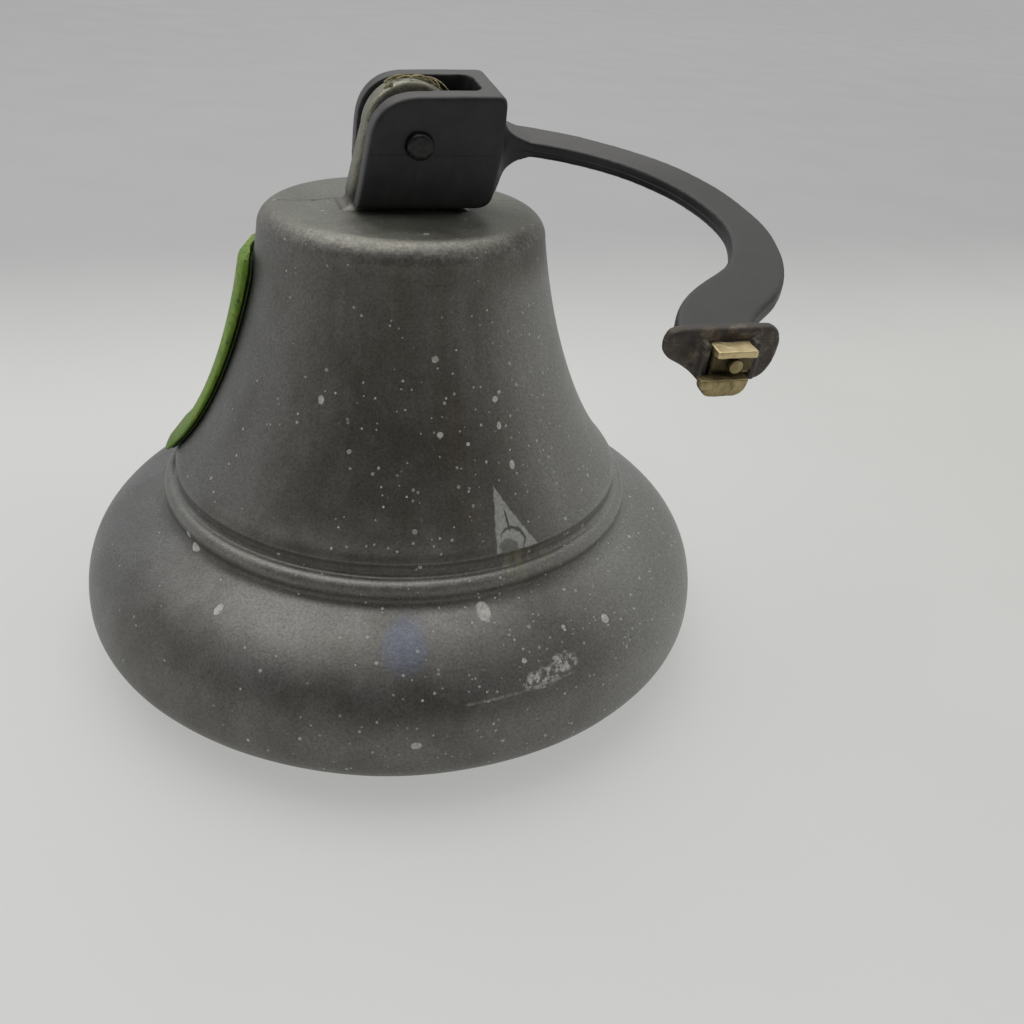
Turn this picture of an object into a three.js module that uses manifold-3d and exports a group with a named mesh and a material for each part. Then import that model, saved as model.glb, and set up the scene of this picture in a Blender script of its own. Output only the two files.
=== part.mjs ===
// Cast bell on a forked swan-neck wall bracket. Millimetres, +Z up. The bell's axis is vertical;
// the bracket's fork runs along X and its arm comes forward along -Y. The bell is built with its
// mouth on z = 0; everything is shifted at the end so that the origin is the base centre.
import * as THREE from 'three';
import { mergeVertices } from 'three/addons/utils/BufferGeometryUtils.js';
import Module from 'manifold-3d';

const wasm = await Module();
wasm.setup();

const DEG = Math.PI / 180;

// ---------- driving sizes ----------
const crownTop = 110.7;            // height of the crown's flat top
const shoulderRadius = 5.2;
const pinHeight = 16.4;            // bolt centre above the crown
const pinShift = 1.2;              // and to the right of the bell's axis
const leanAngle = 7 * DEG;         // the loose bracket leans forward about X
const lugHalfBase = 4;             // half thickness of the lug at the crown and at its head
const lugHalfTop = 3.6;
const slotHalf = 6.2;              // fork slot and fork, half widths along the bolt
const forkHalf = 11;
const forkFloor = -14.1;           // fork's underside, from the bolt centre
const forkTop = 10.6;
const boltRadius = 2.4;
const gap = 0.3;                   // clearance between neighbouring pieces
const armTop = 0;                  // arm's upper and lower faces, from the bolt centre
const armFloor = -3.4;
const padFront = -97.4;            // pad's front face and its thickness
const padThick = 2.2;
const footLeft = 29.2;             // brass foot's width on the pad
const footRight = 36.2;
const footTop = -1.7;              // and its upper and lower ends, from the bolt centre
const footBottom = -8.9;
const ribThick = 1.2;              // cast rib on each side of the foot
const nutThick = 4;                // pivot nut and washer, behind the fork
const nutRadius = 4.6;
const washerRadius = 5;
const washerThick = 1;
const eyeTube = 2;                 // wire radius and ring radius of the clapper's eyes
const eyeRing = 6.2;
const linkTube = 1.7;
const stapleBarHeight = 84;        // axis of the wire that the link hangs on
const ballRadius = 11.5;
const ballHeight = 16.4;
const labelMiddle = 156 * DEG;     // azimuth of the label's middle line
const labelHalfWidth = 19;

// ---------- helpers ----------
function toManifold(geometry) {
  const bare = geometry.clone();
  bare.deleteAttribute('normal');
  bare.deleteAttribute('uv');
  const welded = mergeVertices(bare, 1e-4);
  return new wasm.Manifold(new wasm.Mesh({
    numProp: 3,
    vertProperties: new Float32Array(welded.attributes.position.array),
    triVerts: new Uint32Array(welded.index.array),
  }));
}

function toGeometry(manifold) {
  const mesh = manifold.getMesh();
  const indexed = new THREE.BufferGeometry();
  indexed.setAttribute('position', new THREE.BufferAttribute(new Float32Array(mesh.vertProperties), 3));
  indexed.setIndex(new THREE.BufferAttribute(new Uint32Array(mesh.triVerts), 1));
  const flat = indexed.toNonIndexed();
  flat.computeVertexNormals();
  return flat;
}

const vec = (x, y) => new THREE.Vector2(x, y);

// Cylinder along an axis vector, centred on a point.
function rod(radius, length, centre, axis, sides = 24, endRadius = radius) {
  const geometry = new THREE.CylinderGeometry(endRadius, radius, length, sides);
  const turn = new THREE.Quaternion().setFromUnitVectors(new THREE.Vector3(0, 1, 0), axis);
  geometry.applyQuaternion(turn);
  geometry.translate(centre.x, centre.y, centre.z);
  return geometry;
}

function box(lowX, highX, lowY, highY, lowZ, highZ) {
  const geometry = new THREE.BoxGeometry(highX - lowX, highY - lowY, highZ - lowZ);
  geometry.translate((lowX + highX) / 2, (lowY + highY) / 2, (lowZ + highZ) / 2);
  return geometry;
}

// Outline drawn in X and Z, extruded along Y from -half to +half about a middle.
function extrudeAlongY(shape, half, middle = 0, bevel = 0, steps = 5) {
  const geometry = new THREE.ExtrudeGeometry(shape, {
    depth: 2 * (half - bevel), curveSegments: steps, bevelEnabled: bevel > 0,
    bevelThickness: bevel, bevelSize: bevel, bevelOffset: -bevel, bevelSegments: 2,
  });
  geometry.translate(0, 0, -(half - bevel));
  geometry.rotateX(Math.PI / 2);
  geometry.translate(0, middle, 0);
  return geometry;
}

// Outline drawn in X and Y, extruded along Z from low to high.
function extrudeAlongZ(shape, low, high, bevel = 0, steps = 8) {
  const geometry = new THREE.ExtrudeGeometry(shape, {
    depth: high - low - 2 * bevel, curveSegments: steps, bevelEnabled: bevel > 0,
    bevelThickness: bevel, bevelSize: bevel, bevelOffset: -bevel, bevelSegments: 2,
  });
  geometry.translate(0, 0, low + bevel);
  return geometry;
}

// Ring of wire whose own axis is the given one.
function wireRing(ringRadius, wireRadius, centre, axis) {
  const geometry = new THREE.TorusGeometry(ringRadius, wireRadius, 10, 24);
  const turn = new THREE.Quaternion().setFromUnitVectors(new THREE.Vector3(0, 0, 1), axis);
  geometry.applyQuaternion(turn);
  geometry.translate(centre.x, centre.y, centre.z);
  return geometry;
}

const alongX = new THREE.Vector3(1, 0, 0);
const alongY = new THREE.Vector3(0, 1, 0);
const alongZ = new THREE.Vector3(0, 0, 1);

// Puts a geometry of the fork's own frame (bolt centre at the origin) where the bracket leans.
function leaned(geometry) {
  geometry.rotateX(leanAngle);
  geometry.translate(pinShift, 0, crownTop + pinHeight);
  return geometry;
}

// ---------- bell ----------
// Curves give radius and height. The flank is shared with the label plate that lies on it.
const bezier = (...points) => new THREE.CubicBezierCurve(...points);
const flankCurve = bezier(vec(55.6, 49.6), vec(45, 60), vec(36.2, 84.5), vec(33.2, 105.5));
const lipLower = bezier(vec(68.7, 0), vec(74.5, 5.5), vec(80.3, 9), vec(80, 15));
const lipUpper = bezier(vec(80, 15), vec(80, 25), vec(74.5, 34), vec(60.8, 38.9));
const innerLower = bezier(vec(63.8, 0), vec(67.5, 5), vec(75, 9), vec(75, 15));
const innerUpper = bezier(vec(75, 15), vec(75, 23), vec(69, 31), vec(54, 37.6));
const innerFlank = bezier(vec(50.8, 45.5), vec(41.6, 58.6), vec(32.6, 83), vec(29.6, 101.5));

function arcPoints(centreR, centreZ, radius, fromDeg, toDeg, steps) {
  const points = [];
  for (let i = 0; i <= steps; i++) {
    const angle = (fromDeg + (toDeg - fromDeg) * i / steps) * DEG;
    points.push(vec(centreR + radius * Math.cos(angle), centreZ + radius * Math.sin(angle)));
  }
  return points;
}

const crownThick = 4.4;
const crownUnderside = crownTop - crownThick;
const innerFillet = 4.8;
const bossRadius = 9;
const bossFloor = 102.4;
const bellProfile = [
  ...lipLower.getPoints(6), ...lipUpper.getPoints(7).slice(1),
  vec(59, 40.8),
  ...arcPoints(56.8, 42.7, 2.4, -12, 90, 4),        // main bead, over a hollow
  vec(55.8, 46.4), vec(55.9, 48.4), vec(55.9, 49.2), // faint ridge under the flank
  ...flankCurve.getPoints(9).slice(1, -1),
  ...arcPoints(flankCurve.v3.x - shoulderRadius, crownTop - shoulderRadius, shoulderRadius, 0, 90, 4),
  vec(0, crownTop),
];
const hollowProfile = [
  vec(0, crownUnderside),
  ...arcPoints(innerFlank.v3.x - innerFillet, crownUnderside - innerFillet, innerFillet, 90, 0, 3),
  ...innerFlank.getPoints(7).reverse().slice(1),
  ...innerUpper.getPoints(6).reverse(), ...innerLower.getPoints(5).reverse().slice(1),
];
const bellSegments = 64;
const bellLathe = new THREE.LatheGeometry(
  [...hollowProfile, ...bellProfile].map((p) => vec(Math.max(p.x, 0), p.y)), bellSegments);
bellLathe.rotateX(Math.PI / 2);

// Lug: a drafted tab with a round head about the bolt, flared where it meets the crown.
const lugHead = 10.6;
const lugFoot = 1.5;               // how far the lug is sunk into the crown
const lugHoleRadius = 3.3;
const lugShape = new THREE.Shape();
lugShape.moveTo(-16.4, -pinHeight - lugFoot);
lugShape.lineTo(-16.4, -pinHeight);
lugShape.quadraticCurveTo(-14.6, -pinHeight + 0.6, -14.1, -13.2);
lugShape.lineTo(-lugHead, 1);
lugShape.absarc(0, 0, lugHead, 175 * DEG, 5 * DEG, true);
lugShape.lineTo(10.8, -13.2);
lugShape.quadraticCurveTo(11, -pinHeight + 0.5, 12.4, -pinHeight);
lugShape.lineTo(12.4, -pinHeight - lugFoot);
const lug = extrudeAlongY(lugShape, 1, 0, 0, 8);
const lugPoints = lug.attributes.position;
for (let i = 0; i < lugPoints.count; i++) {
  const climb = (lugPoints.getZ(i) + pinHeight) / (pinHeight + lugHead);
  lugPoints.setY(i, lugPoints.getY(i) * (lugHalfBase + (lugHalfTop - lugHalfBase) * climb));
}
lug.translate(pinShift, 0, crownTop + pinHeight);

const boss = rod(bossRadius, crownUnderside + 1 - bossFloor,
  new THREE.Vector3(0, 0, (crownUnderside + 1 + bossFloor) / 2), alongZ, 24);
const studHoleTop = 108.6;
const studRadius = 3;
const studHole = rod(studRadius + gap, studHoleTop - bossFloor + 4,
  new THREE.Vector3(0, 0, (studHoleTop + bossFloor - 4) / 2), alongZ, 16);
const lugHole = rod(lugHoleRadius, 20, new THREE.Vector3(pinShift, 0, crownTop + pinHeight), alongY, 20);
const bellShell = toManifold(bellLathe).add(toManifold(boss)).add(toManifold(lug))
  .subtract(toManifold(studHole)).subtract(toManifold(lugHole));

// ---------- bracket: fork, swan-neck arm and end pad in one casting ----------
const forkShape = new THREE.Shape();
forkShape.moveTo(-13.5, forkFloor);
forkShape.lineTo(-10.9, 0.5);
forkShape.bezierCurveTo(-10.3, 6.4, -6, 10, 0, 10.1);
forkShape.lineTo(16.7, forkTop);
forkShape.quadraticCurveTo(18.9, forkTop, 19, 8.6);
forkShape.lineTo(19, -2);
forkShape.lineTo(17.6, -10.9);
forkShape.quadraticCurveTo(17, forkFloor, 13.4, forkFloor);
const forkBlock = extrudeAlongY(forkShape, forkHalf, 0, 0.8, 6);

// The rear cheek's lower end is cut back more steeply than the front one.
const trimShape = new THREE.Shape();
trimShape.moveTo(-10.9, 0.5);
trimShape.lineTo(-11.6, -16);
trimShape.lineTo(-20, -16);
trimShape.lineTo(-20, 0.5);
const rearTrim = extrudeAlongY(trimShape, 4, slotHalf + 3);

const slotEnd = 14.5;
const slotCorner = 2.6;
const slotShape = new THREE.Shape();
slotShape.moveTo(-20, -slotHalf);
slotShape.lineTo(slotEnd - slotCorner, -slotHalf);
slotShape.absarc(slotEnd - slotCorner, -slotHalf + slotCorner, slotCorner, -90 * DEG, 0, false);
slotShape.absarc(slotEnd - slotCorner, slotHalf - slotCorner, slotCorner, 0, 90 * DEG, false);
slotShape.lineTo(-20, slotHalf);
const slot = extrudeAlongZ(slotShape, -20, 16, 0, 4);

const armRoot = 18.6;              // just inside the fork's end face, where the arm starts

// Plan of the arm, from inside the fork's end wall round to the pad.
const armPlan = new THREE.Shape();
armPlan.moveTo(15.8, 10.2);
armPlan.lineTo(armRoot, 10.2);
armPlan.bezierCurveTo(20, 7.6, 23, 6.9, 27.6, 5.3);
armPlan.bezierCurveTo(47.6, -5, 61.4, -21, 60.8, -49);
armPlan.bezierCurveTo(60.7, -61, 55.9, -75, 49, -83.2);
armPlan.bezierCurveTo(45.6, -87.6, 39.8, -91, 37, padFront + 0.8);
armPlan.lineTo(23.8, padFront + 0.8);
armPlan.bezierCurveTo(28, -82.5, 37.6, -79, 43, -73.2);
armPlan.bezierCurveTo(47.8, -67.5, 52, -58.5, 52.1, -49.5);
armPlan.bezierCurveTo(52.2, -29.8, 42, -14, 26.4, -7.4);
armPlan.bezierCurveTo(22, -6.4, 20, -7.6, armRoot, -10.2);
armPlan.lineTo(15.8, -10.2);
const armBar = extrudeAlongZ(armPlan, armFloor, armTop, 0.6, 9);
const armTall = extrudeAlongZ(armPlan, -12, 9, 0, 9);

// Side view of the root, where the arm swells to meet the fork.
const rootShape = new THREE.Shape();
rootShape.moveTo(16, 7.4);
rootShape.lineTo(armRoot + 0.1, 7.4);
rootShape.bezierCurveTo(19.2, 3, 21.5, 0.8, 28, armTop - 0.6);
rootShape.lineTo(28, armFloor + 0.6);
rootShape.bezierCurveTo(21.5, armFloor - 1, 19.2, -6.2, 18, -10.4);
rootShape.lineTo(16, -10.4);
const root = toManifold(extrudeAlongY(rootShape, 12, 0, 0, 6)).intersect(toManifold(armTall));

// End pad: a shield-shaped plate, wide at the top, with two ribs that hold the brass foot.
const padShape = new THREE.Shape();
padShape.moveTo(24.2, 0.3);
padShape.lineTo(39.8, 0.3);
padShape.quadraticCurveTo(42.2, 0.1, 42.2, -3.4);
padShape.quadraticCurveTo(42, -8.2, 39.2, -9.2);
padShape.lineTo(29.6, -9.4);
padShape.quadraticCurveTo(26.6, -6.8, 24, -5.4);
padShape.quadraticCurveTo(21.9, -4.6, 21.9, -2.6);
padShape.quadraticCurveTo(22, 0.3, 24.2, 0.3);
const pad = extrudeAlongY(padShape, padThick / 2, padFront + padThick / 2, 0.5, 4);
const ribReach = 2.2;
const ribs = [[footLeft - gap - ribThick, footLeft - gap], [footRight + gap, footRight + gap + ribThick]]
  .map(([left, right]) => box(left, right, padFront - ribReach, padFront + 0.6, footBottom + 0.8, footTop + 0.4));

const boltHole = rod(boltRadius + gap, 2 * forkHalf + 4, new THREE.Vector3(0, 0, 0), alongY, 20);
const screwHeight = -4.3;
const screwMiddle = (footLeft + footRight) / 2;
const screwRadius = 0.8;
const screwGap = 0.25;
const screwAt = (y) => new THREE.Vector3(screwMiddle, y, screwHeight);
const padHole = rod(screwRadius + screwGap, 4, screwAt(padFront), alongY, 12);

let bracketSolid = toManifold(forkBlock).subtract(toManifold(slot)).subtract(toManifold(rearTrim))
  .add(toManifold(armBar)).add(root).add(toManifold(pad));
for (const rib of ribs) bracketSolid = bracketSolid.add(toManifold(rib));
bracketSolid = bracketSolid.subtract(toManifold(slot)).subtract(toManifold(boltHole))
  .subtract(toManifold(padHole));
const bracket = leaned(toGeometry(bracketSolid));

// ---------- pivot bolt, washer and nut ----------
const headFace = -forkHalf - gap;
const boltEnd = forkHalf + 7.8;
const headRadius = 2.9;
const headThick = 1.1;
const domeThick = 0.6;
const domeRadius = 2;
const domeMiddle = headFace - headThick - domeThick / 2 + 0.15;
const boltHead = rod(headRadius, headThick, new THREE.Vector3(0, headFace - headThick / 2, 0), alongY, 20);
const pivotHead = toManifold(boltHead).add(toManifold(
  rod(domeRadius, domeThick, new THREE.Vector3(0, domeMiddle, 0), alongY, 20, headRadius - 0.05)));
const shank = toManifold(rod(boltRadius, boltEnd - headFace + 0.2,
  new THREE.Vector3(0, (boltEnd + headFace - 0.2) / 2, 0), alongY, 20));
const pivotBolt = leaned(toGeometry(pivotHead.add(shank)));

function washer(outer, inner, thick, centre, axis) {
  return toManifold(rod(outer, thick, centre, axis, 24))
    .subtract(toManifold(rod(inner, thick + 2, centre, axis, 20)));
}

function nut(outer, inner, thick, centre, axis) {
  return toManifold(rod(outer, thick, centre, axis, 6))
    .subtract(toManifold(rod(inner, thick + 2, centre, axis, 20)));
}
const washerMiddle = new THREE.Vector3(0, forkHalf + gap + washerThick / 2, 0);
const pivotWasher = leaned(toGeometry(
  washer(washerRadius, boltRadius + gap, washerThick, washerMiddle, alongY)));
const nutMiddle = new THREE.Vector3(0, forkHalf + 2 * gap + washerThick + nutThick / 2, 0);
const pivotNut = leaned(toGeometry(nut(nutRadius, boltRadius + gap, nutThick, nutMiddle, alongY)));

// ---------- brass foot on the pad, and its screw ----------
const footBack = padFront - gap;
const footRise = -6;               // level that divides the ledge from the foot's lower block
function footSlabOf(points, left, right) {       // side view: Y runs to the left here, Z up
  const shape = new THREE.Shape(points.map(([depth, height]) => vec(footBack - depth, height)));
  const slab = new THREE.ExtrudeGeometry(shape, { depth: right - left, bevelEnabled: false });
  slab.applyMatrix4(new THREE.Matrix4().set(0, 0, 1, left, 1, 0, 0, 0, 0, 1, 0, 0, 0, 0, 0, 1));
  return toManifold(slab);
}
const footStep = 2.6;                            // face between the ledge and the lower block
const ledge = footSlabOf([[0, footTop], [3.6, footTop], [3.6, footTop - 1.2], [footStep, footTop - 1.4],
  [footStep, footRise + 0.5], [2, footRise + 0.4], [2, footRise - 0.2], [0, footRise - 0.2]],
footLeft, footRight);
const blockRight = 34.9;                         // right side of the lower block and the chin
const lowerBlock = footSlabOf([[0, footRise], [4.4, footRise], [4.3, footBottom + 0.6],
  [3.6, footBottom], [0, footBottom]], footLeft, blockRight);
const chinShape = new THREE.Shape();              // front view of the foot's wide chin
chinShape.moveTo(26.7, footRise);
chinShape.lineTo(blockRight, footRise);
chinShape.lineTo(blockRight - 0.2, footBottom + 1.4);
chinShape.quadraticCurveTo(blockRight - 0.8, footBottom - 0.1, 32.5, footBottom - 0.1);
chinShape.lineTo(29.2, footBottom - 0.1);
chinShape.quadraticCurveTo(27.5, footBottom - 0.1, 26.9, footBottom + 1.4);
const chin = extrudeAlongY(chinShape, 1.1, footBack - 3.7, 0, 4);
const screwHole = rod(screwRadius + screwGap, 8, screwAt(footBack), alongY, 12);
const footSolid = ledge.add(lowerBlock).add(toManifold(chin)).subtract(toManifold(screwHole));
const mountFoot = leaned(toGeometry(footSolid));
const screwHeadRadius = 1.15;
const screwHeadThick = 0.9;
const screwLength = 5;
const screwHeadBack = footBack - footStep - screwGap;
const screwHeadMiddle = screwAt(screwHeadBack - screwHeadThick / 2);
const screwShankMiddle = screwAt(screwHeadBack + screwLength / 2 - 0.1);
const screwHead = rod(screwHeadRadius, screwHeadThick, screwHeadMiddle, alongY, 14);
const screwShank = rod(screwRadius, screwLength, screwShankMiddle, alongY, 12);
const footScrew = leaned(toGeometry(toManifold(screwHead).add(toManifold(screwShank))));

// ---------- label plate and its backing on the flank ----------
// A plate of even width that follows the flank, between two distances from its surface, with
// rounded ends. It may run straight on past the flank's foot (t below 0), over the hollow there.
// Its outer face swells away from the flank towards the top.
function flankStrip(fromT, toT, halfWidth, under, over, swell, taper) {
  const rows = 16;
  const columns = 10;
  const corner = (i, j, lift) => {
    const t = fromT + (toT - fromT) * i / rows;
    const onCurve = flankCurve.getPoint(t);
    const along = flankCurve.getPoint(t + 0.001).sub(flankCurve.getPoint(t - 0.001)).normalize();
    const end = Math.min(i, rows - i) / taper;
    const rounding = end >= 1 ? 1 : Math.sqrt(1 - (1 - end) ** 2) * 0.4 + 0.6;
    const angle = labelMiddle + rounding * halfWidth / onCurve.x * (2 * j / columns - 1);
    const rise = lift === over ? over + swell * t : lift;
    const radius = onCurve.x + along.y * rise;
    const height = onCurve.y - along.x * rise;
    return [radius * Math.cos(angle), radius * Math.sin(angle), height];
  };
  const positions = [];
  const quad = (a, b, c, d) => positions.push(...a, ...b, ...c, ...a, ...c, ...d);
  for (let i = 0; i < rows; i++) {
    for (let j = 0; j < columns; j++) {
      quad(corner(i, j, over), corner(i, j + 1, over), corner(i + 1, j + 1, over), corner(i + 1, j, over));
      quad(corner(i, j, under), corner(i + 1, j, under), corner(i + 1, j + 1, under), corner(i, j + 1, under));
    }
    quad(corner(i, 0, under), corner(i, 0, over), corner(i + 1, 0, over), corner(i + 1, 0, under));
    quad(corner(i, columns, over), corner(i, columns, under),
      corner(i + 1, columns, under), corner(i + 1, columns, over));
  }
  for (let j = 0; j < columns; j++) {
    quad(corner(0, j, under), corner(0, j + 1, under), corner(0, j + 1, over), corner(0, j, over));
    quad(corner(rows, j, over), corner(rows, j + 1, over), corner(rows, j + 1, under), corner(rows, j, under));
  }
  const geometry = new THREE.BufferGeometry();
  geometry.setAttribute('position', new THREE.Float32BufferAttribute(positions, 3));
  const welded = mergeVertices(geometry, 1e-4).toNonIndexed();
  welded.computeVertexNormals();
  return welded;
}
const labelPlate = flankStrip(-0.085, 0.91, labelHalfWidth, 1, 1.9, 1.5, 3);
const labelBacking = flankStrip(-0.065, 0.89, labelHalfWidth - 0.7, gap, 0.75, 0, 3);

// ---------- clapper ----------
const onAxis = (z) => new THREE.Vector3(0, 0, z);
const studTop = studHoleTop - 0.5;
const studBottom = stapleBarHeight + 2 * eyeRing + eyeTube - 1.4;
const eyeBoltRing = wireRing(eyeRing, eyeTube, onAxis(stapleBarHeight + eyeRing), alongY);
const eyeStud = rod(studRadius, studTop - studBottom, onAxis((studTop + studBottom) / 2), alongZ, 16);
const eyeBolt = toGeometry(toManifold(eyeBoltRing).add(toManifold(eyeStud)));
const locknutThick = 3;
const locknutRadius = 5.6;
const locknutMiddle = onAxis(bossFloor - gap - locknutThick / 2);
const eyeLocknut = toGeometry(nut(locknutRadius, studRadius + gap, locknutThick, locknutMiddle, alongZ));

const wireGap = 0.2;                               // between two wires that hang in each other
const linkCentre = stapleBarHeight - (eyeRing - linkTube - eyeTube - wireGap);
const clapperLink = wireRing(eyeRing, linkTube, onAxis(linkCentre), alongX);

const linkBottom = linkCentre - eyeRing;           // axis that the rod's eye turns about
const rodEyeCentre = linkBottom + (linkTube + eyeTube + wireGap) - eyeRing;
const rodRadius = 2.6;
const rodEnd = 2;
const rodTop = rodEyeCentre - eyeRing + 0.6;
const rodCollarRadius = 3.8;
const rodCollarThick = 2.4;
const rodCollarMiddle = ballHeight + ballRadius + 0.6;
const rodEye = toManifold(wireRing(eyeRing, eyeTube, onAxis(rodEyeCentre), alongY));
const rodShank = toManifold(rod(rodRadius, rodTop - rodEnd, onAxis((rodTop + rodEnd) / 2), alongZ, 16));
const rodCollar = toManifold(rod(rodCollarRadius, rodCollarThick, onAxis(rodCollarMiddle), alongZ, 16));
const clapperRod = toGeometry(rodEye.add(rodShank).add(rodCollar));

const ballFloor = ballHeight - 9.4;                // the ball is cut flat for its nut
const ballNutThick = 3.4;
const ballNutRadius = 4.8;
const ballSphere = new THREE.SphereGeometry(ballRadius, 24, 14);
ballSphere.rotateX(Math.PI / 2);
ballSphere.translate(0, 0, ballHeight);
const ballBore = rod(rodRadius + gap, 4 * ballRadius, onAxis(ballHeight), alongZ, 16);
const collarSeat = rod(rodCollarRadius + gap, 4, onAxis(ballHeight + ballRadius + 0.9), alongZ, 16);
const ballFlat = box(-20, 20, -20, 20, -10, ballFloor);
const clapperBall = toGeometry(toManifold(ballSphere).subtract(toManifold(ballBore))
  .subtract(toManifold(collarSeat)).subtract(toManifold(ballFlat)));
const ballNutMiddle = onAxis(ballFloor - gap - ballNutThick / 2);
const ballNut = toGeometry(nut(ballNutRadius, rodRadius + gap, ballNutThick, ballNutMiddle, alongZ));

// ---------- materials and the assembled group ----------
const finishes = {
  bell: { color: 0x4f4c47, roughness: 0.5, metalness: 0.7 },
  casting: { color: 0x2c2c2d, roughness: 0.55, metalness: 0.5 },
  steel: { color: 0x55534f, roughness: 0.5, metalness: 0.9 },
  brass: { color: 0x9a8450, roughness: 0.45, metalness: 0.9 },
  label: { color: 0x4f7a1c, roughness: 0.4, metalness: 0.0 },
  backing: { color: 0x23241c, roughness: 0.9, metalness: 0.0 },
};
const pieces = [
  ['bell_shell', toGeometry(bellShell), 'bell'],
  ['label_plate', labelPlate, 'label'],
  ['label_backing', labelBacking, 'backing'],
  ['bracket', bracket, 'casting'],
  ['pivot_bolt', pivotBolt, 'steel'],
  ['pivot_washer', pivotWasher, 'steel'],
  ['pivot_nut', pivotNut, 'steel'],
  ['mount_foot', mountFoot, 'brass'],
  ['foot_screw', footScrew, 'brass'],
  ['eye_bolt', eyeBolt, 'steel'],
  ['eye_locknut', eyeLocknut, 'steel'],
  ['clapper_link', clapperLink, 'steel'],
  ['clapper_rod', clapperRod, 'steel'],
  ['clapper_ball', clapperBall, 'bell'],
  ['ball_nut', ballNut, 'steel'],
];

const bounds = new THREE.Box3();
for (const [, geometry] of pieces) {
  geometry.computeBoundingBox();
  bounds.union(geometry.boundingBox);
}
const group = new THREE.Group();
for (const [name, geometry, finish] of pieces) {
  geometry.translate(-(bounds.min.x + bounds.max.x) / 2, -(bounds.min.y + bounds.max.y) / 2, -bounds.min.z);
  const mesh = new THREE.Mesh(geometry, new THREE.MeshStandardMaterial(finishes[finish]));
  mesh.name = name;
  group.add(mesh);
}

export default group;
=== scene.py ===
"""A cast bell on a forked swan-neck bracket, standing on its mouth.

Shapes are written in millimetres in the CAD's own terms: the bell about its axis with the mouth at
height 0, and the bracket in the fork's frame, whose origin is the middle of the bolt.
"""
import math

import bpy
from mathutils import Matrix, Vector, noise


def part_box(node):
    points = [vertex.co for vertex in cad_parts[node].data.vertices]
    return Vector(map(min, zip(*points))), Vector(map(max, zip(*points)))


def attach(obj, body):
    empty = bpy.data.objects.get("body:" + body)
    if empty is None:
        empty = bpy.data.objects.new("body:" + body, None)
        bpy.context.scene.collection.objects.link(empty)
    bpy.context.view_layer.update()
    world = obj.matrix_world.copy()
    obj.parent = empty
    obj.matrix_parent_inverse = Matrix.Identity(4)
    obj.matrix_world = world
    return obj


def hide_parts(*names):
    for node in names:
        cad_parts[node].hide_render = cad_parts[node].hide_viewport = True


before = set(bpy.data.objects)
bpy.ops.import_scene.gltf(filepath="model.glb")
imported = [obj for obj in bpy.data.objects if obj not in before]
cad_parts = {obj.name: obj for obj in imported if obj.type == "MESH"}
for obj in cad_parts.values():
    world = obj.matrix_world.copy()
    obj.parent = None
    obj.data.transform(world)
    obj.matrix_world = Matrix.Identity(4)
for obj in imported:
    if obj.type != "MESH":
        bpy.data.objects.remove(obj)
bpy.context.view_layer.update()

MM = 0.001
CROWN_TOP = 110.7
PIN_RISE = 16.4                      # bolt centre above the crown
PIN_SHIFT = 1.2                      # and to the right of the bell's axis
PIN_HEIGHT = CROWN_TOP + PIN_RISE
LEAN = math.radians(7)               # the bracket leans forward about the bolt
SHELL_LOW, SHELL_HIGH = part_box("bell_shell")
BELL_Y = (SHELL_LOW.y + SHELL_HIGH.y) / 2 / MM
BELL_PLACE = Matrix.Translation((0, BELL_Y, 0))
FORK_PLACE = Matrix.Translation((PIN_SHIFT, BELL_Y, PIN_HEIGHT)) @ Matrix.Rotation(LEAN, 4, "X")
scene = bpy.context.scene


# ---------------------------------------------------------------- mesh helpers
def bezier(p0, p1, p2, p3, steps):
    points = []
    for i in range(steps + 1):
        t = i / steps
        s = 1 - t
        weights = (s ** 3, 3 * s * s * t, 3 * s * t * t, t ** 3)
        points.append(tuple(sum(w * p[k] for w, p in zip(weights, (p0, p1, p2, p3))) for k in (0, 1)))
    return points


def quad_curve(p0, p1, p2, steps):
    a = tuple(p0[k] + (p1[k] - p0[k]) * 2 / 3 for k in (0, 1))
    b = tuple(p2[k] + (p1[k] - p2[k]) * 2 / 3 for k in (0, 1))
    return bezier(p0, a, b, p2, steps)


def arc(centre_u, centre_v, radius, start, end, steps):
    points = []
    for i in range(steps + 1):
        angle = math.radians(start + (end - start) * i / steps)
        points.append((centre_u + radius * math.cos(angle), centre_v + radius * math.sin(angle)))
    return points


def chain(*runs):
    """Joins runs of points and leaves out the points that repeat."""
    points = []
    for run in runs:
        for p in run:
            if not points or math.dist(points[-1], p) > 1e-4:
                points.append(p)
    return points


def area_of(outline):
    pairs = zip(outline, outline[1:] + outline[:1])
    return sum(a[0] * b[1] - b[0] * a[1] for a, b in pairs) / 2


def inset(outline, distance):
    """Moves a counter-clockwise outline inwards along its corner normals."""
    moved = []
    count = len(outline)
    for i in range(count):
        before, here, after = Vector(outline[i - 1]), Vector(outline[i]), Vector(outline[(i + 1) % count])
        first = (here - before).normalized()
        second = (after - here).normalized()
        normal = Vector((-first.y - second.y, first.x + second.x))
        cosine = max(0.35, normal.length / 2)
        moved.append(tuple(here + normal.normalized() * distance / cosine))
    return moved


def make_piece(name, verts, faces, place=Matrix.Identity(4), smooth=True):
    mesh = bpy.data.meshes.new(name)
    mesh.from_pydata([(place @ Vector(v)) * MM for v in verts], [], faces)
    mesh.validate()
    mesh.update()
    piece = bpy.data.objects.new(name, mesh)
    scene.collection.objects.link(piece)
    if smooth:
        mesh.shade_smooth()
    return piece


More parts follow.
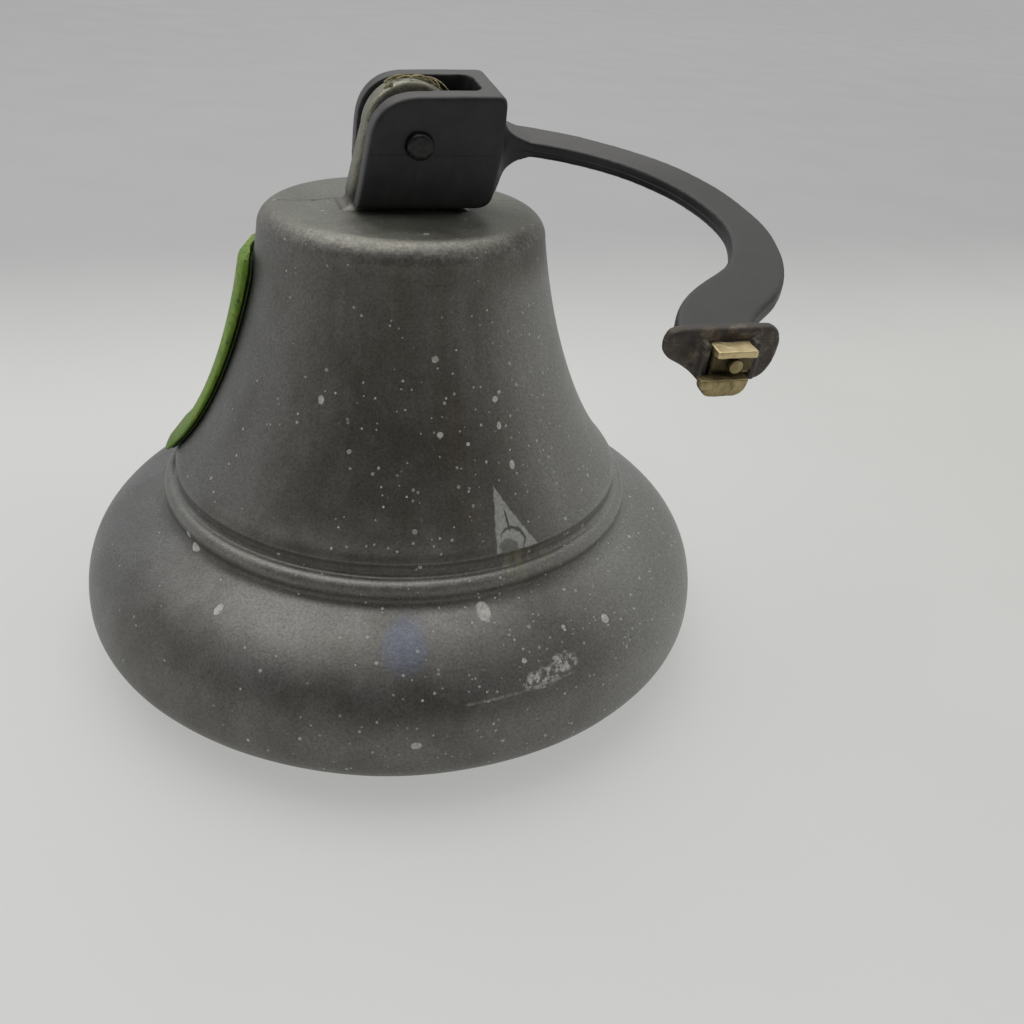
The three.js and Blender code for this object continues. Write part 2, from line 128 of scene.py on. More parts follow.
def lathe(profile, segments, closed=True):
    """Turns (radius, height) points about Z. Points on the axis become one vertex."""
    verts, rings, faces = [], [], []
    for radius, height in profile:
        if radius < 1e-6:
            rings.append([len(verts)] * segments)
            verts.append((0, 0, height))
            continue
        rings.append(list(range(len(verts), len(verts) + segments)))
        for j in range(segments):
            angle = 2 * math.pi * j / segments
            verts.append((radius * math.cos(angle), radius * math.sin(angle), height))
    pairs = list(zip(rings, rings[1:] + rings[:1])) if closed else list(zip(rings, rings[1:]))
    for low, high in pairs:
        for j in range(segments):
            k = (j + 1) % segments
            face = []
            for index in (low[j], low[k], high[k], high[j]):
                if index not in face:
                    face.append(index)
            if len(face) > 2:
                faces.append(face)
    return verts, faces


def prism(outline, low, high, bevel, axes, bevel_steps=3):
    """Extrudes a closed outline between two levels, with rounded long edges. axes maps (u, v, w)."""
    if area_of(outline) < 0:
        outline = outline[::-1]
    rings = []
    for k in range(bevel_steps + 1):
        angle = math.pi / 2 * k / bevel_steps
        rings.append((low + bevel * (1 - math.cos(angle)), bevel * (1 - math.sin(angle))))
    rings += [(low + high - level, amount) for level, amount in reversed(rings)]
    if bevel == 0:
        rings = [(low, 0), (high, 0)]
    verts, faces = [], []
    count = len(outline)
    for level, amount in rings:
        verts += [axes(u, v, level) for u, v in (inset(outline, amount) if amount else outline)]
    for r in range(len(rings) - 1):
        for i in range(count):
            j = (i + 1) % count
            faces.append((r * count + i, r * count + j, (r + 1) * count + j, (r + 1) * count + i))
    faces.append(tuple(range(count))[::-1])
    faces.append(tuple(range((len(rings) - 1) * count, len(rings) * count)))
    return verts, faces


def along_y(u, v, w):
    return u, -w, v


def along_z(u, v, w):
    return u, v, w


def joined(*shapes):
    verts, faces = [], []
    for more_verts, more_faces in shapes:
        start = len(verts)
        verts += more_verts
        faces += [tuple(i + start for i in face) for face in more_faces]
    return verts, faces


def bake_modifiers(piece):
    depsgraph = bpy.context.evaluated_depsgraph_get()
    mesh = bpy.data.meshes.new_from_object(piece.evaluated_get(depsgraph))
    old = piece.data
    piece.modifiers.clear()
    piece.data = mesh
    bpy.data.meshes.remove(old)
    mesh.shade_smooth()
    return piece


def boolean(piece, other, operation):
    modifier = piece.modifiers.new("cut", "BOOLEAN")
    modifier.operation = operation
    modifier.solver = "EXACT"
    modifier.object = other
    bake_modifiers(piece)
    bpy.data.objects.remove(other)
    return piece


def cast_skin(piece, voxel, rounds, factor=0.5):
    """Fuses overlapping solids into one skin and rounds its edges and inner corners."""
    remesh = piece.modifiers.new("fuse", "REMESH")
    remesh.mode = "VOXEL"
    remesh.voxel_size = voxel * MM
    soften = piece.modifiers.new("soften", "SMOOTH")
    soften.iterations = rounds
    soften.factor = factor
    return bake_modifiers(piece)


def merge_into(piece, others):
    """Adds the meshes of other objects to a piece, then removes them."""
    verts = [tuple(v.co / MM) for v in piece.data.vertices]
    faces = [tuple(p.vertices) for p in piece.data.polygons]
    for other in others:
        start = len(verts)
        verts += [tuple(v.co / MM) for v in other.data.vertices]
        faces += [tuple(i + start for i in p.vertices) for p in other.data.polygons]
        bpy.data.objects.remove(other)
    name = piece.name
    bpy.data.objects.remove(piece)
    return make_piece(name, verts, faces)


def waver(piece, size, depth, seed):
    """Gives a cast surface its slight unevenness, along its normals."""
    shift = Vector((seed * 7.3, seed * 3.1, seed * 5.7))
    moves = []
    for v in piece.data.vertices:
        moves.append(v.co + v.normal * (noise.noise(v.co / (size * MM) + shift) * depth * MM))
    for v, co in zip(piece.data.vertices, moves):
        v.co = co
    piece.data.update()
    return piece


# ---------------------------------------------------------------- material helpers
class Nodes:
    """A short way to write a node material. Sockets are passed as values."""

    def __init__(self, name):
        self.material = bpy.data.materials.new(name)
        self.material.use_nodes = True
        self.tree = self.material.node_tree
        self.tree.nodes.clear()
        self.shader = self.add("ShaderNodeBsdfPrincipled")
        output = self.add("ShaderNodeOutputMaterial")
        self.tree.links.new(self.shader.outputs[0], output.inputs[0])
        self.place = self.add("ShaderNodeTexCoord").outputs["Object"]

    def add(self, kind, **settings):
        node = self.tree.nodes.new(kind)
        for key, value in settings.items():
            setattr(node, key, value)
        return node

    def feed(self, node, **values):
        for key, value in values.items():
            socket = node.inputs[key] if isinstance(key, str) and key in node.inputs else None
            if socket is None:
                socket = node.inputs[key.replace("_", " ")]
            self.put(socket, value)
        return node

    def put(self, socket, value):
        if isinstance(value, bpy.types.NodeSocket):
            self.tree.links.new(value, socket)
        else:
            socket.default_value = value

    def math(self, operation, a, b=0.0, c=0.0, clamp=False):
        node = self.add("ShaderNodeMath", operation=operation, use_clamp=clamp)
        for socket, value in zip(node.inputs, (a, b, c)):
            self.put(socket, value)
        return node.outputs[0]

    def step(self, value, low, high, flip=False):
        """0 below low and 1 above high, with a soft edge, or the other way round."""
        node = self.add("ShaderNodeMapRange", interpolation_type="SMOOTHSTEP")
        ends = (1.0, 0.0) if flip else (0.0, 1.0)
        for socket, number in zip(list(node.inputs)[:5], (value, low, high, *ends)):
            self.put(socket, number)
        return node.outputs[0]

    def scale(self, value, low, high, to_low, to_high):
        node = self.add("ShaderNodeMapRange")
        for socket, number in zip(list(node.inputs)[:5], (value, low, high, to_low, to_high)):
            self.put(socket, number)
        return node.outputs[0]

    def mix(self, amount, a, b, blend="MIX"):
        node = self.add("ShaderNodeMix", data_type="RGBA", blend_type=blend)
        self.put(node.inputs["Factor"], amount)
        for socket, value in zip((node.inputs[6], node.inputs[7]), (a, b)):
            self.put(socket, (*value, 1) if isinstance(value, tuple) and len(value) == 3 else value)
        return node.outputs[2]

    def noise(self, vector, size, detail=3.0, rough=0.55, lumps=0.0):
        """Noise whose features are about size millimetres across."""
        node = self.add("ShaderNodeTexNoise")
        self.put(node.inputs["Vector"], vector)
        node.inputs["Scale"].default_value = 1000 / size
        node.inputs["Detail"].default_value = detail
        node.inputs["Roughness"].default_value = rough
        node.inputs["Distortion"].default_value = lumps
        return node.outputs[0]

    def cells(self, vector, size, feature="F1", jitter=1.0):
        node = self.add("ShaderNodeTexVoronoi", feature=feature)
        self.put(node.inputs["Vector"], vector)
        node.inputs["Scale"].default_value = 1000 / size
        node.inputs["Randomness"].default_value = jitter
        return node

    def vector(self, operation, a, b=(0.0, 0.0, 0.0), out=0):
        node = self.add("ShaderNodeVectorMath", operation=operation)
        self.put(node.inputs[0], a)
        if operation == "SCALE":
            self.put(node.inputs["Scale"], b)
        else:
            self.put(node.inputs[1], b)
        return node.outputs[out]

    def split(self, vector):
        node = self.add("ShaderNodeSeparateXYZ")
        self.put(node.inputs[0], vector)
        return node.outputs

    def joint(self, x, y, z):
        node = self.add("ShaderNodeCombineXYZ")
        for socket, value in zip(node.inputs, (x, y, z)):
            self.put(socket, value)
        return node.outputs[0]

    def dot(self, vector, direction):
        return self.vector("DOT_PRODUCT", vector, direction, out=1)

    def facing_up(self):
        geometry = self.add("ShaderNodeNewGeometry")
        return self.split(geometry.outputs["Normal"])[2]

    def bump(self, height, depth, normal=None):
        """Raises the surface by height times depth, in millimetres."""
        node = self.add("ShaderNodeBump")
        node.inputs["Strength"].default_value = 1.0
        node.inputs["Distance"].default_value = depth * MM
        self.put(node.inputs["Height"], height)
        if normal is not None:
            self.put(node.inputs["Normal"], normal)
        return node.outputs[0]

    def finish(self, colour, roughness, normal=None, metallic=0.0, **constants):
        self.put(self.shader.inputs["Base Color"], colour)
        self.put(self.shader.inputs["Roughness"], roughness)
        self.put(self.shader.inputs["Metallic"], metallic)
        if normal is not None:
            self.put(self.shader.inputs["Normal"], normal)
        for key, value in constants.items():
            self.shader.inputs[key.replace("_", " ")].default_value = value
        return self.material


class BellMap:
    """Marks on the bell, drawn in azimuth and height. Sizes are in millimetres."""

    def __init__(self, n, x, y, height):
        self.n = n
        turn = n.math("ARCTAN2", n.math("MULTIPLY", y, -1.0), n.math("MULTIPLY", x, -1.0))
        self.angle = n.math("MULTIPLY_ADD", turn, 180 / math.pi, 180.0)
        self.height = height
        self.wobble = n.math("SUBTRACT", n.noise(n.place, 1.6, 4, 0.65), 0.5)

    def spread(self, azimuth, radius, level, half_width, half_height):
        """Squared distance from a place, which is 1 at the edge of a patch of the given size."""
        n = self.n
        across = math.degrees(half_width / radius)
        u = n.math("MULTIPLY_ADD", self.angle, 1 / across, -azimuth / across)
        v = n.math("MULTIPLY_ADD", self.height, 1 / half_height, -level / half_height)
        return n.math("MULTIPLY_ADD", v, v, n.math("MULTIPLY", u, u))

    def patch(self, patches, ragged=1.6, soft=0.25):
        n = self.n
        nearest = None
        for patch in patches:
            spread = self.spread(*patch)
            nearest = spread if nearest is None else n.math("MINIMUM", nearest, spread)
        nearest = n.math("MULTIPLY_ADD", self.wobble, ragged, nearest)
        return n.step(nearest, 1 - soft, 1 + soft, flip=True)

    def wedge(self, azimuth, radius, level, corners, soft=0.5):
        """A triangle with corners in millimetres about a place, given counter-clockwise."""
        n = self.n
        depth = None
        right = n.math("MULTIPLY_ADD", self.angle, math.radians(radius), -math.radians(radius) * azimuth)
        for (u, v), (p, q) in zip(corners, corners[1:] + corners[:1]):
            length = math.hypot(p - u, q - v)
            across, along = (v - q) / length, (p - u) / length
            side = n.math("MULTIPLY_ADD", self.height, along, -along * (level + v) - across * u)
            side = n.math("MULTIPLY_ADD", right, across, side)
            depth = side if depth is None else n.math("MINIMUM", depth, side)
        return n.step(n.math("MULTIPLY_ADD", self.wobble, 1.2, depth), 0.0, soft)


def near_zero(n, value, half_width):
    return n.step(n.math("ABSOLUTE", value), half_width * 0.4, half_width * 1.3, flip=True)


def bell_material():
    n = Nodes("bell_patina")
    centred = n.vector("SUBTRACT", n.place, (0.0, BELL_Y * MM, 0.0))
    x, y, z = n.split(centred)[:3]
    height = n.math("MULTIPLY", z, 1000.0)
    flat = n.joint(x, y, 0.0)
    radius = n.math("MULTIPLY", n.vector("LENGTH", flat, out=1), 1000.0)
    outward = n.vector("NORMALIZE", flat)
    around = n.split(outward)
    streak_place = n.joint(n.math("MULTIPLY", around[0], 0.05), n.math("MULTIPLY", around[1], 0.05),
                           n.math("MULTIPLY", z, 0.12))
    up = n.facing_up()
    places = BellMap(n, x, y, height)

    clouds = n.noise(n.place, 26, 4, 0.6)
    blotches = n.noise(n.place, 7, 5, 0.65, 0.4)
    drifts = n.noise(streak_place, 11, 3, 0.5)
    streaks = n.noise(streak_place, 3.2, 4, 0.6)
    grain = n.noise(n.place, 0.55, 2, 0.6)
    fleck = n.noise(n.place, 1.3, 4, 0.7)

    colour = n.mix(n.step(clouds, 0.35, 0.68), (0.132, 0.127, 0.114), (0.190, 0.187, 0.178))
    colour = n.mix(n.math("MULTIPLY", n.step(blotches, 0.45, 0.75), 0.45), colour, (0.235, 0.231, 0.218))
    # the front is browner, in soft upright bands; the sides and the right of the flank get painted reflection
    front = n.dot(outward, (0.12, -0.99, 0.0))
    on_flank = n.math("MULTIPLY", n.step(height, 46, 56), n.step(height, 104, 110, flip=True))
    brown = n.math("MULTIPLY", n.step(front, 0.45, 0.97), n.scale(drifts, 0.35, 0.65, 0.25, 1.0))
    brown = n.math("MULTIPLY", brown, n.scale(on_flank, 0.0, 1.0, 0.3, 1.0))
    colour = n.mix(n.math("MULTIPLY", brown, 0.62), colour, (0.105, 0.090, 0.066))
    rust = n.math("MULTIPLY", n.math("MULTIPLY", n.step(streaks, 0.5, 0.75), on_flank), brown)
    colour = n.mix(n.math("MULTIPLY", rust, 0.45), colour, (0.115, 0.080, 0.050))
    # painted reflection: the sides are lighter and a little bluer, as if catching the bright surroundings at a
    # glancing angle
    sides = n.math("MULTIPLY", n.step(front, 0.5, -0.1), n.step(height, 112, 100))
    colour = n.mix(n.math("MULTIPLY", sides, 0.4), colour, (0.245, 0.252, 0.262))
    # painted reflection: the right of the flank is lighter still
    right = n.math("MULTIPLY", n.step(n.dot(outward, (0.94, -0.34, 0.0)), 0.55, 0.97), n.step(height, 106, 96))
    colour = n.mix(n.math("MULTIPLY", right, 0.6), colour, (0.36, 0.36, 0.34))
    # dust and verdigris on the crown, rubbed metal at its edge
    dusty = n.math("MULTIPLY", n.step(up, 0.55, 0.95), n.step(height, 100, 109))
    colour = n.mix(n.math("MULTIPLY", dusty, n.scale(blotches, 0.3, 0.7, 0.35, 0.85)), colour,
                   (0.235, 0.235, 0.196))
    # pale verdigris and dirt on the lug
    stripes = n.noise(n.joint(n.math("MULTIPLY", x, 0.3), y, n.math("MULTIPLY", z, 0.3)), 0.9, 4, 0.65)
    on_lug = n.math("MULTIPLY", n.step(height, 112.5, 119), n.scale(stripes, 0.35, 0.65, 0.35, 1.0))
    colour = n.mix(n.math("MULTIPLY", on_lug, 0.85), colour, (0.36, 0.35, 0.265))
    shoulder = n.math("MULTIPLY", n.step(radius, 28, 30.5), n.step(height, 105.5, 108.5))
    colour = n.mix(n.math("MULTIPLY", shoulder, n.scale(fleck, 0.4, 0.6, 0.0, 0.5)), colour,
                   (0.30, 0.285, 0.25))
    # the bead's top is rubbed; the hollow under it and the groove above it are darkened with painted shade
    rub = n.math("MULTIPLY", n.step(radius, 56.2, 57.2), n.math(
        "MULTIPLY", n.step(height, 42.8, 43.8), n.step(height, 45.2, 46.0, flip=True)))
    colour = n.mix(n.math("MULTIPLY", rub, n.scale(blotches, 0.3, 0.65, 0.15, 0.6)), colour,
                   (0.29, 0.285, 0.26))
    # painted shade in the hollow under the bead and in the groove above it
    painted_hollow_shade = n.math("MULTIPLY", n.step(height, 39.6, 40.6), n.step(height, 41.6, 42.8, flip=True))
    painted_hollow_shade = n.math("MULTIPLY", painted_hollow_shade, n.step(radius, 61.5, 60.0, flip=False))
    painted_hollow_shade = n.math("MAXIMUM", painted_hollow_shade, n.math(
        "MULTIPLY", n.step(height, 45.2, 46.0), n.step(height, 47.4, 48.6, flip=True)))
    colour = n.mix(n.math("MULTIPLY", painted_hollow_shade, n.scale(fleck, 0.3, 0.7, 0.45, 0.1)), colour,
                   (0.08, 0.075, 0.062))

    # spatters of lime, thickest on the right of the front; each layer has its own size
    thick = n.math("MULTIPLY", n.step(n.dot(outward, (0.42, -0.90, 0.0)), 0.35, 0.97),
                   n.step(height, 106, 90))
    layers = ((6.5, 0.06, 0.13, 0.05, 0.34), (3.2, 0.07, 0.17, 0.12, 0.66), (1.9, 0.10, 0.19, 0.16, 0.5))
    spots = None
    for size, smallest, largest, share, more in layers:
        cell = n.cells(n.place, size)
        draw = n.split(cell.outputs["Color"])
        limit = n.math("ADD", share, n.math("MULTIPLY", thick, more))
        chosen = n.step(n.math("SUBTRACT", limit, draw[0]), 0.0, 0.02)
        reach = n.scale(draw[1], 0.0, 1.0, smallest, largest)
        distance = n.math("ADD", cell.outputs["Distance"], n.math("MULTIPLY", places.wobble, 0.16))
        spot = n.math("MULTIPLY", n.step(n.math("SUBTRACT", reach, distance), 0.0, 0.03), chosen)
        spot = n.math("MULTIPLY", spot, n.scale(draw[2], 0.0, 1.0, 0.4, 1.0))
        spots = spot if spots is None else n.math("MAXIMUM", spots, spot)

    # marks with a place of their own: azimuth, radius, height, half width, half height
    dabs = ((276.5, 62, 38.6, 1.5, 1.1), (208, 60, 40.5, 1.5, 0.9), (204.5, 61, 42.0, 1.0, 0.7),
            (234, 40, 77.6, 0.7, 0.9), (270.7, 42, 72.3, 0.7, 0.6), (290, 42, 72.4, 0.6, 0.8),
            (290, 39, 78, 0.7, 0.7), (262, 80, 19, 1.2, 0.8), (292, 46, 64, 0.7, 0.9),
            (300, 70, 33, 1.0, 0.7), (224, 66, 36, 0.9, 0.7))
    spots = n.math("MAXIMUM", spots, places.patch(dabs, 1.3, 0.2))
    smears = places.patch(((283.0, 75, 28.4, 4.0, 1.6), (288.0, 75, 29.8, 3.4, 1.6)), 2.2, 0.5)
    smears = n.math("MULTIPLY", smears, n.scale(fleck, 0.44, 0.56, 0.0, 0.85))
    spots = n.math("MAXIMUM", spots, smears)
    colour = n.mix(n.math("MULTIPLY", spots, n.scale(fleck, 0.3, 0.6, 0.5, 0.98)), colour,
                   (0.60, 0.59, 0.55))

    # bare triangle where a sticker tore off, with a dark curl, and drips under it
    bare = places.wedge(287.8, 51, 52.8, ((-5.6, -4.2), (4.8, -4.6), (-2.8, 8.6)), 0.4)
    colour = n.mix(n.math("MULTIPLY", bare, n.scale(fleck, 0.3, 0.7, 0.80, 0.98)), colour, (0.36, 0.36, 0.34))
    curl = n.math("SUBTRACT", places.patch(((286.6, 51, 50.6, 3.0, 2.3),), 1.0, 0.15),
                  places.patch(((286.2, 51, 50.2, 2.7, 2.1),), 1.0, 0.15), clamp=True)
    curl = n.math("MAXIMUM", curl, places.patch(((286.4, 51, 54.0, 0.28, 2.0),), 0.9, 0.3))
    curl = n.math("MAXIMUM", curl, n.math("MULTIPLY", places.patch(((285.0, 51, 49.6, 2.2, 1.3),), 2.0, 0.4), 0.7))
    colour = n.mix(n.math("MULTIPLY", n.math("MULTIPLY", curl, bare), 0.85), colour, (0.045, 0.045, 0.04))
    drips = n.math("MULTIPLY", places.patch(((288.5, 57, 45.4, 6.5, 3.4),), 2.2, 0.4),
                   n.step(streaks, 0.44, 0.56))
    colour = n.mix(n.math("MULTIPLY", drips, 0.55), colour, (0.27, 0.25, 0.17))
    bluish = places.patch(((260.4, 67, 35.5, 4.6, 3.2),), 1.0, 0.8)
    colour = n.mix(n.math("MULTIPLY", bluish, 0.5), colour, (0.13, 0.15, 0.22))

    # scratch along the bulge, and the parting line with a pit across the crown
    scratch = near_zero(n, n.math("MULTIPLY_ADD", places.angle, -0.05, n.math("SUBTRACT", height, 13.1)), 0.3)
    scratch = n.math("MULTIPLY", scratch, places.patch(((279.5, 75, 27, 13, 4),), 0.4, 0.1))
    colour = n.mix(n.math("MULTIPLY", scratch, n.scale(fleck, 0.4, 0.55, 0.1, 0.7)), colour, (0.40, 0.39, 0.36))
    rise = n.math("MULTIPLY_ADD", n.math("MAXIMUM", n.math("ADD", x, 20.1 * MM), 0.0), -0.4, y)
    rise = n.math("MULTIPLY_ADD", rise, 1000.0, n.math("MULTIPLY_ADD", places.wobble, 0.7, -3.9))
    left_side = n.math("MULTIPLY", n.step(x, -0.0292, -0.0285), n.step(x, -13.9 * MM, -13.5 * MM, flip=True))
    right_side = n.math("MULTIPLY", n.math("MULTIPLY_ADD", x, 133.0, -7.2), 1.0)
    right_line = near_zero(n, n.math("MULTIPLY_ADD", y, 1000.0, right_side), 0.2)
    right_line = n.math("MULTIPLY", right_line, n.step(x, 17 * MM, 19 * MM))
    seam = n.math("MAXIMUM", n.math("MULTIPLY", near_zero(n, rise, 0.24), left_side),
                  n.math("MULTIPLY", right_line, 0.6))
    pit = n.vector("LENGTH", n.vector("SUBTRACT", flat, (-20.1 * MM, 3.9 * MM, 0.0)), out=1)
    carved = n.math("MAXIMUM", seam, n.step(pit, 0.4 * MM, 1.0 * MM, flip=True))
    carved = n.math("MULTIPLY", carved, n.step(height, 107, 109))
    colour = n.mix(n.math("MULTIPLY", carved, 0.85), colour, (0.02, 0.018, 0.015))

    normal = n.bump(n.noise(n.place, 30, 2, 0.5), 0.25)
    normal = n.bump(n.noise(n.place, 4.5, 3, 0.6), 0.06, normal)
    normal = n.bump(grain, 0.035, normal)
    normal = n.bump(n.math("SUBTRACT", spots, carved), 0.06, normal)

    speckle = n.scale(grain, 0.25, 0.75, 0.74, 1.30)
    colour = n.mix(1.0, colour, n.joint(speckle, speckle, speckle), "MULTIPLY")
    rough = n.math("ADD", n.scale(blotches, 0.3, 0.7, 0.40, 0.52), n.math("MULTIPLY", spots, 0.3))
    metal = n.math("SUBTRACT", 0.85, n.math("MULTIPLY", n.math("MAXIMUM", spots, bare), 0.75))
    return n.finish(colour, rough, normal, metal)


def casting_material():
    """Black paint on iron, with dust and a painted sheen on the faces that look up and grey wear on the corners."""
    n = Nodes("black_casting_paint")
    up = n.facing_up()
    blotches = n.noise(n.place, 6, 5, 0.65, 0.3)
    grain = n.noise(n.place, 0.5, 3, 0.6)
    colour = n.mix(n.step(blotches, 0.35, 0.7), (0.016, 0.016, 0.017), (0.030, 0.030, 0.031))
    # dust and painted sheen: faces that look up are lighter, as dust and as a reflection of the light above, lighter
    # still near the fork
    dust_and_sheen = n.math("MULTIPLY", n.step(up, 0.35, 0.95), n.scale(blotches, 0.3, 0.7, 0.65, 1.0))
    local = n.vector("SUBTRACT", n.place, (0.0, BELL_Y * MM, PIN_HEIGHT * MM))
    forward = n.split(local)[1]
    near_fork = n.step(forward, -0.034, -0.008)
    tone = n.mix(near_fork, (0.066, 0.065, 0.060), (0.125, 0.122, 0.114))
    colour = n.mix(n.math("MULTIPLY", dust_and_sheen, 0.85), colour, tone)
    # the fork's left end is rubbed pale, with rust beside it
    facing = n.split(n.add("ShaderNodeNewGeometry").outputs["Normal"])[0]
    left_end = n.math("MULTIPLY", n.step(facing, -0.45, -0.85), n.step(n.split(n.place)[0], -6 * MM, -8 * MM))
    colour = n.mix(n.math("MULTIPLY", left_end, n.scale(blotches, 0.3, 0.7, 0.55, 0.95)), colour,
                   (0.095, 0.096, 0.098))
    rusty = n.noise(n.place, 3.4, 5, 0.7, 0.5)
    colour = n.mix(n.math("MULTIPLY", left_end, n.step(rusty, 0.55, 0.64)), colour, (0.10, 0.055, 0.028))
    on_pad = n.step(forward, -0.0940, -0.0955)
    pad_rust = n.math("MULTIPLY", on_pad, n.scale(rusty, 0.36, 0.58, 0.2, 0.95))
    colour = n.mix(pad_rust, colour, (0.080, 0.062, 0.047))
    tan = n.math("MULTIPLY", on_pad, n.step(rusty, 0.54, 0.64))
    colour = n.mix(n.math("MULTIPLY", tan, 0.75), colour, (0.20, 0.165, 0.12))
    rise = n.math("MULTIPLY", n.dot(local, (0.0, -math.sin(LEAN), math.cos(LEAN))), 1000.0)
    seam = n.step(n.math("ABSOLUTE", n.math("ADD", rise, 1.9)), 0.0, 0.22, flip=True)
    normal = n.bump(n.noise(n.place, 5, 3, 0.6), 0.12)
    normal = n.bump(grain, 0.05, normal)
    normal = n.bump(seam, 0.12, normal)
    colour = n.mix(n.math("MULTIPLY", seam, 0.35), colour, (0.09, 0.09, 0.088))
    rough = n.scale(blotches, 0.3, 0.7, 0.42, 0.56)
    return n.finish(colour, rough, normal, 0.25)


def metal_material(name, dark, light, rough_low, rough_high, metallic=1.0, stain=(0.03, 0.022, 0.014)):
    n = Nodes(name)
    blotches = n.noise(n.place, 2.2, 5, 0.65, 0.5)
    grain = n.noise(n.place, 0.3, 2, 0.6)
    colour = n.mix(n.step(blotches, 0.35, 0.68), dark, light)
    crust = n.step(n.noise(n.place, 3.3, 4, 0.7), 0.56, 0.68)
    colour = n.mix(n.math("MULTIPLY", crust, 0.7), colour, stain)
    normal = n.bump(blotches, 0.06)
    normal = n.bump(grain, 0.03, normal)
    rough = n.math("ADD", n.scale(blotches, 0.3, 0.7, rough_low, rough_high),
                   n.math("MULTIPLY", crust, 0.2))
    return n.finish(colour, rough, normal, metallic)


def brass_material():
    """Tarnished brass, with a painted highlight on the ledge's lip and painted shade where the foot steps back under
    it.
    """
    n = Nodes("worn_brass")
    local = n.vector("SUBTRACT", n.place, (0.0, BELL_Y * MM, PIN_HEIGHT * MM))
    forward = n.math("MULTIPLY", n.dot(local, (0.0, -math.cos(LEAN), -math.sin(LEAN))), 1000.0)
    rise = n.math("MULTIPLY", n.dot(local, (0.0, -math.sin(LEAN), math.cos(LEAN))), 1000.0)
    blotches = n.noise(n.place, 2.2, 5, 0.65, 0.5)
    grain = n.noise(n.place, 0.3, 2, 0.6)
    scratches = n.noise(n.joint(n.math("MULTIPLY", n.split(n.place)[0], 0.12), *n.split(n.place)[1:3]), 0.35, 3, 0.6)
    colour = n.mix(n.step(blotches, 0.35, 0.68), (0.25, 0.20, 0.095), (0.46, 0.375, 0.20))
    crust = n.step(n.noise(n.place, 2.6, 4, 0.7), 0.54, 0.66)
    colour = n.mix(n.math("MULTIPLY", crust, 0.7), colour, (0.10, 0.085, 0.05))
    # painted highlight: the ledge's top lip is bright as if lit from above
    painted_lip_highlight = n.step(rise, -3.1, -2.7)
    colour = n.mix(n.math("MULTIPLY", painted_lip_highlight, n.scale(blotches, 0.3, 0.7, 0.9, 0.6)), colour, (0.80, 0.66, 0.38))
    # painted shade where the foot steps back under the ledge
    under = n.math("MULTIPLY", n.step(rise, -2.6, -3.0), n.step(rise, -6.3, -5.9))
    under = n.math("MULTIPLY", under, n.step(forward, 101.4, 101.0))
    colour = n.mix(n.math("MULTIPLY", under, n.scale(blotches, 0.3, 0.7, 0.95, 0.7)), colour, (0.085, 0.072, 0.040))
    normal = n.bump(blotches, 0.06)
    normal = n.bump(scratches, 0.03, normal)
    normal = n.bump(grain, 0.03, normal)
    rough = n.math("ADD", n.scale(blotches, 0.3, 0.7, 0.34, 0.5), n.math("MULTIPLY", n.math("MAXIMUM", crust, under), 0.2))
    return n.finish(colour, rough, normal, 0.9)


def label_material():
    n = Nodes("green_strip")
    local = n.vector("SUBTRACT", n.place, (0.0, BELL_Y * MM, 0.0))
    x, y, z = n.split(local)[:3]
    height = n.math("MULTIPLY", z, 1000.0)
    mottle = n.noise(n.place, 2.4, 4, 0.6)
    weave = n.noise(n.place, 0.5, 2, 0.6)
    streaks = n.noise(n.joint(x, y, n.math("MULTIPLY", z, 0.16)), 1.5, 3, 0.6)
    colour = n.mix(n.step(mottle, 0.35, 0.68), (0.115, 0.235, 0.012), (0.18, 0.325, 0.028))
    colour = n.mix(n.math("MULTIPLY", n.step(streaks, 0.48, 0.66), 0.75), colour, (0.27, 0.36, 0.02))
    low = n.step(height, 46, 64, flip=True)
    colour = n.mix(n.math("MULTIPLY", low, 0.6), colour, (0.05, 0.095, 0.018))
    dots = n.cells(n.place, 1.6).outputs["Distance"]
    pits = n.step(dots, 0.16, 0.3, flip=True)
    colour = n.mix(n.math("MULTIPLY", pits, 0.6), colour, (0.02, 0.05, 0.006))
    normal = n.bump(weave, 0.06)
    normal = n.bump(n.math("SUBTRACT", 1.0, pits), 0.12, normal)
    return n.finish(colour, n.scale(mottle, 0.3, 0.7, 0.48, 0.64), normal)


def plain_material(name, dark, light, size, rough, depth, metallic=0.0):
    """Two tones in a noise of a given size, with the same noise as relief."""
    n = Nodes(name)
    mottle = n.noise(n.place, size, 4, 0.65, 0.3)
    colour = n.mix(n.step(mottle, 0.35, 0.66), dark, light)
    normal = n.bump(mottle, depth)
    normal = n.bump(n.noise(n.place, size / 6, 2), depth / 3, normal)
    return n.finish(colour, n.scale(mottle, 0.3, 0.7, rough - 0.08, rough + 0.08), normal, metallic)


BELL = bell_material()
CASTING = casting_material()
BOLT = metal_material("dark_bolt_steel", (0.012, 0.012, 0.012), (0.030, 0.030, 0.029), 0.26, 0.36, 0.5,
                      stain=(0.028, 0.025, 0.020))
NUT_STEEL = metal_material("nut_steel", (0.10, 0.097, 0.09), (0.22, 0.21, 0.2), 0.32, 0.48)
BRASS = brass_material()
STEEL = metal_material("clapper_steel", (0.09, 0.085, 0.08), (0.2, 0.19, 0.18), 0.34, 0.5)
GREEN = label_material()
# the backing pad's dark green is partly painted shade under the label's edge
BACKING = plain_material("label_backing_foam_painted_shade", (0.035, 0.065, 0.014), (0.06, 0.10, 0.022), 1.5, 0.85, 0.1)
DIRT = plain_material("slot_dirt", (0.12, 0.11, 0.055), (0.34, 0.33, 0.20), 1.2, 0.9, 0.3)
STRAW = plain_material("straw_fibre", (0.34, 0.27, 0.13), (0.58, 0.5, 0.3), 0.8, 0.7, 0.05)


def finish_piece(piece, material, body, slot, *replaced):
    piece.data.materials.clear()
    piece.data.materials.append(material)
    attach(piece, body)
    if replaced:
        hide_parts(*replaced)
    return piece


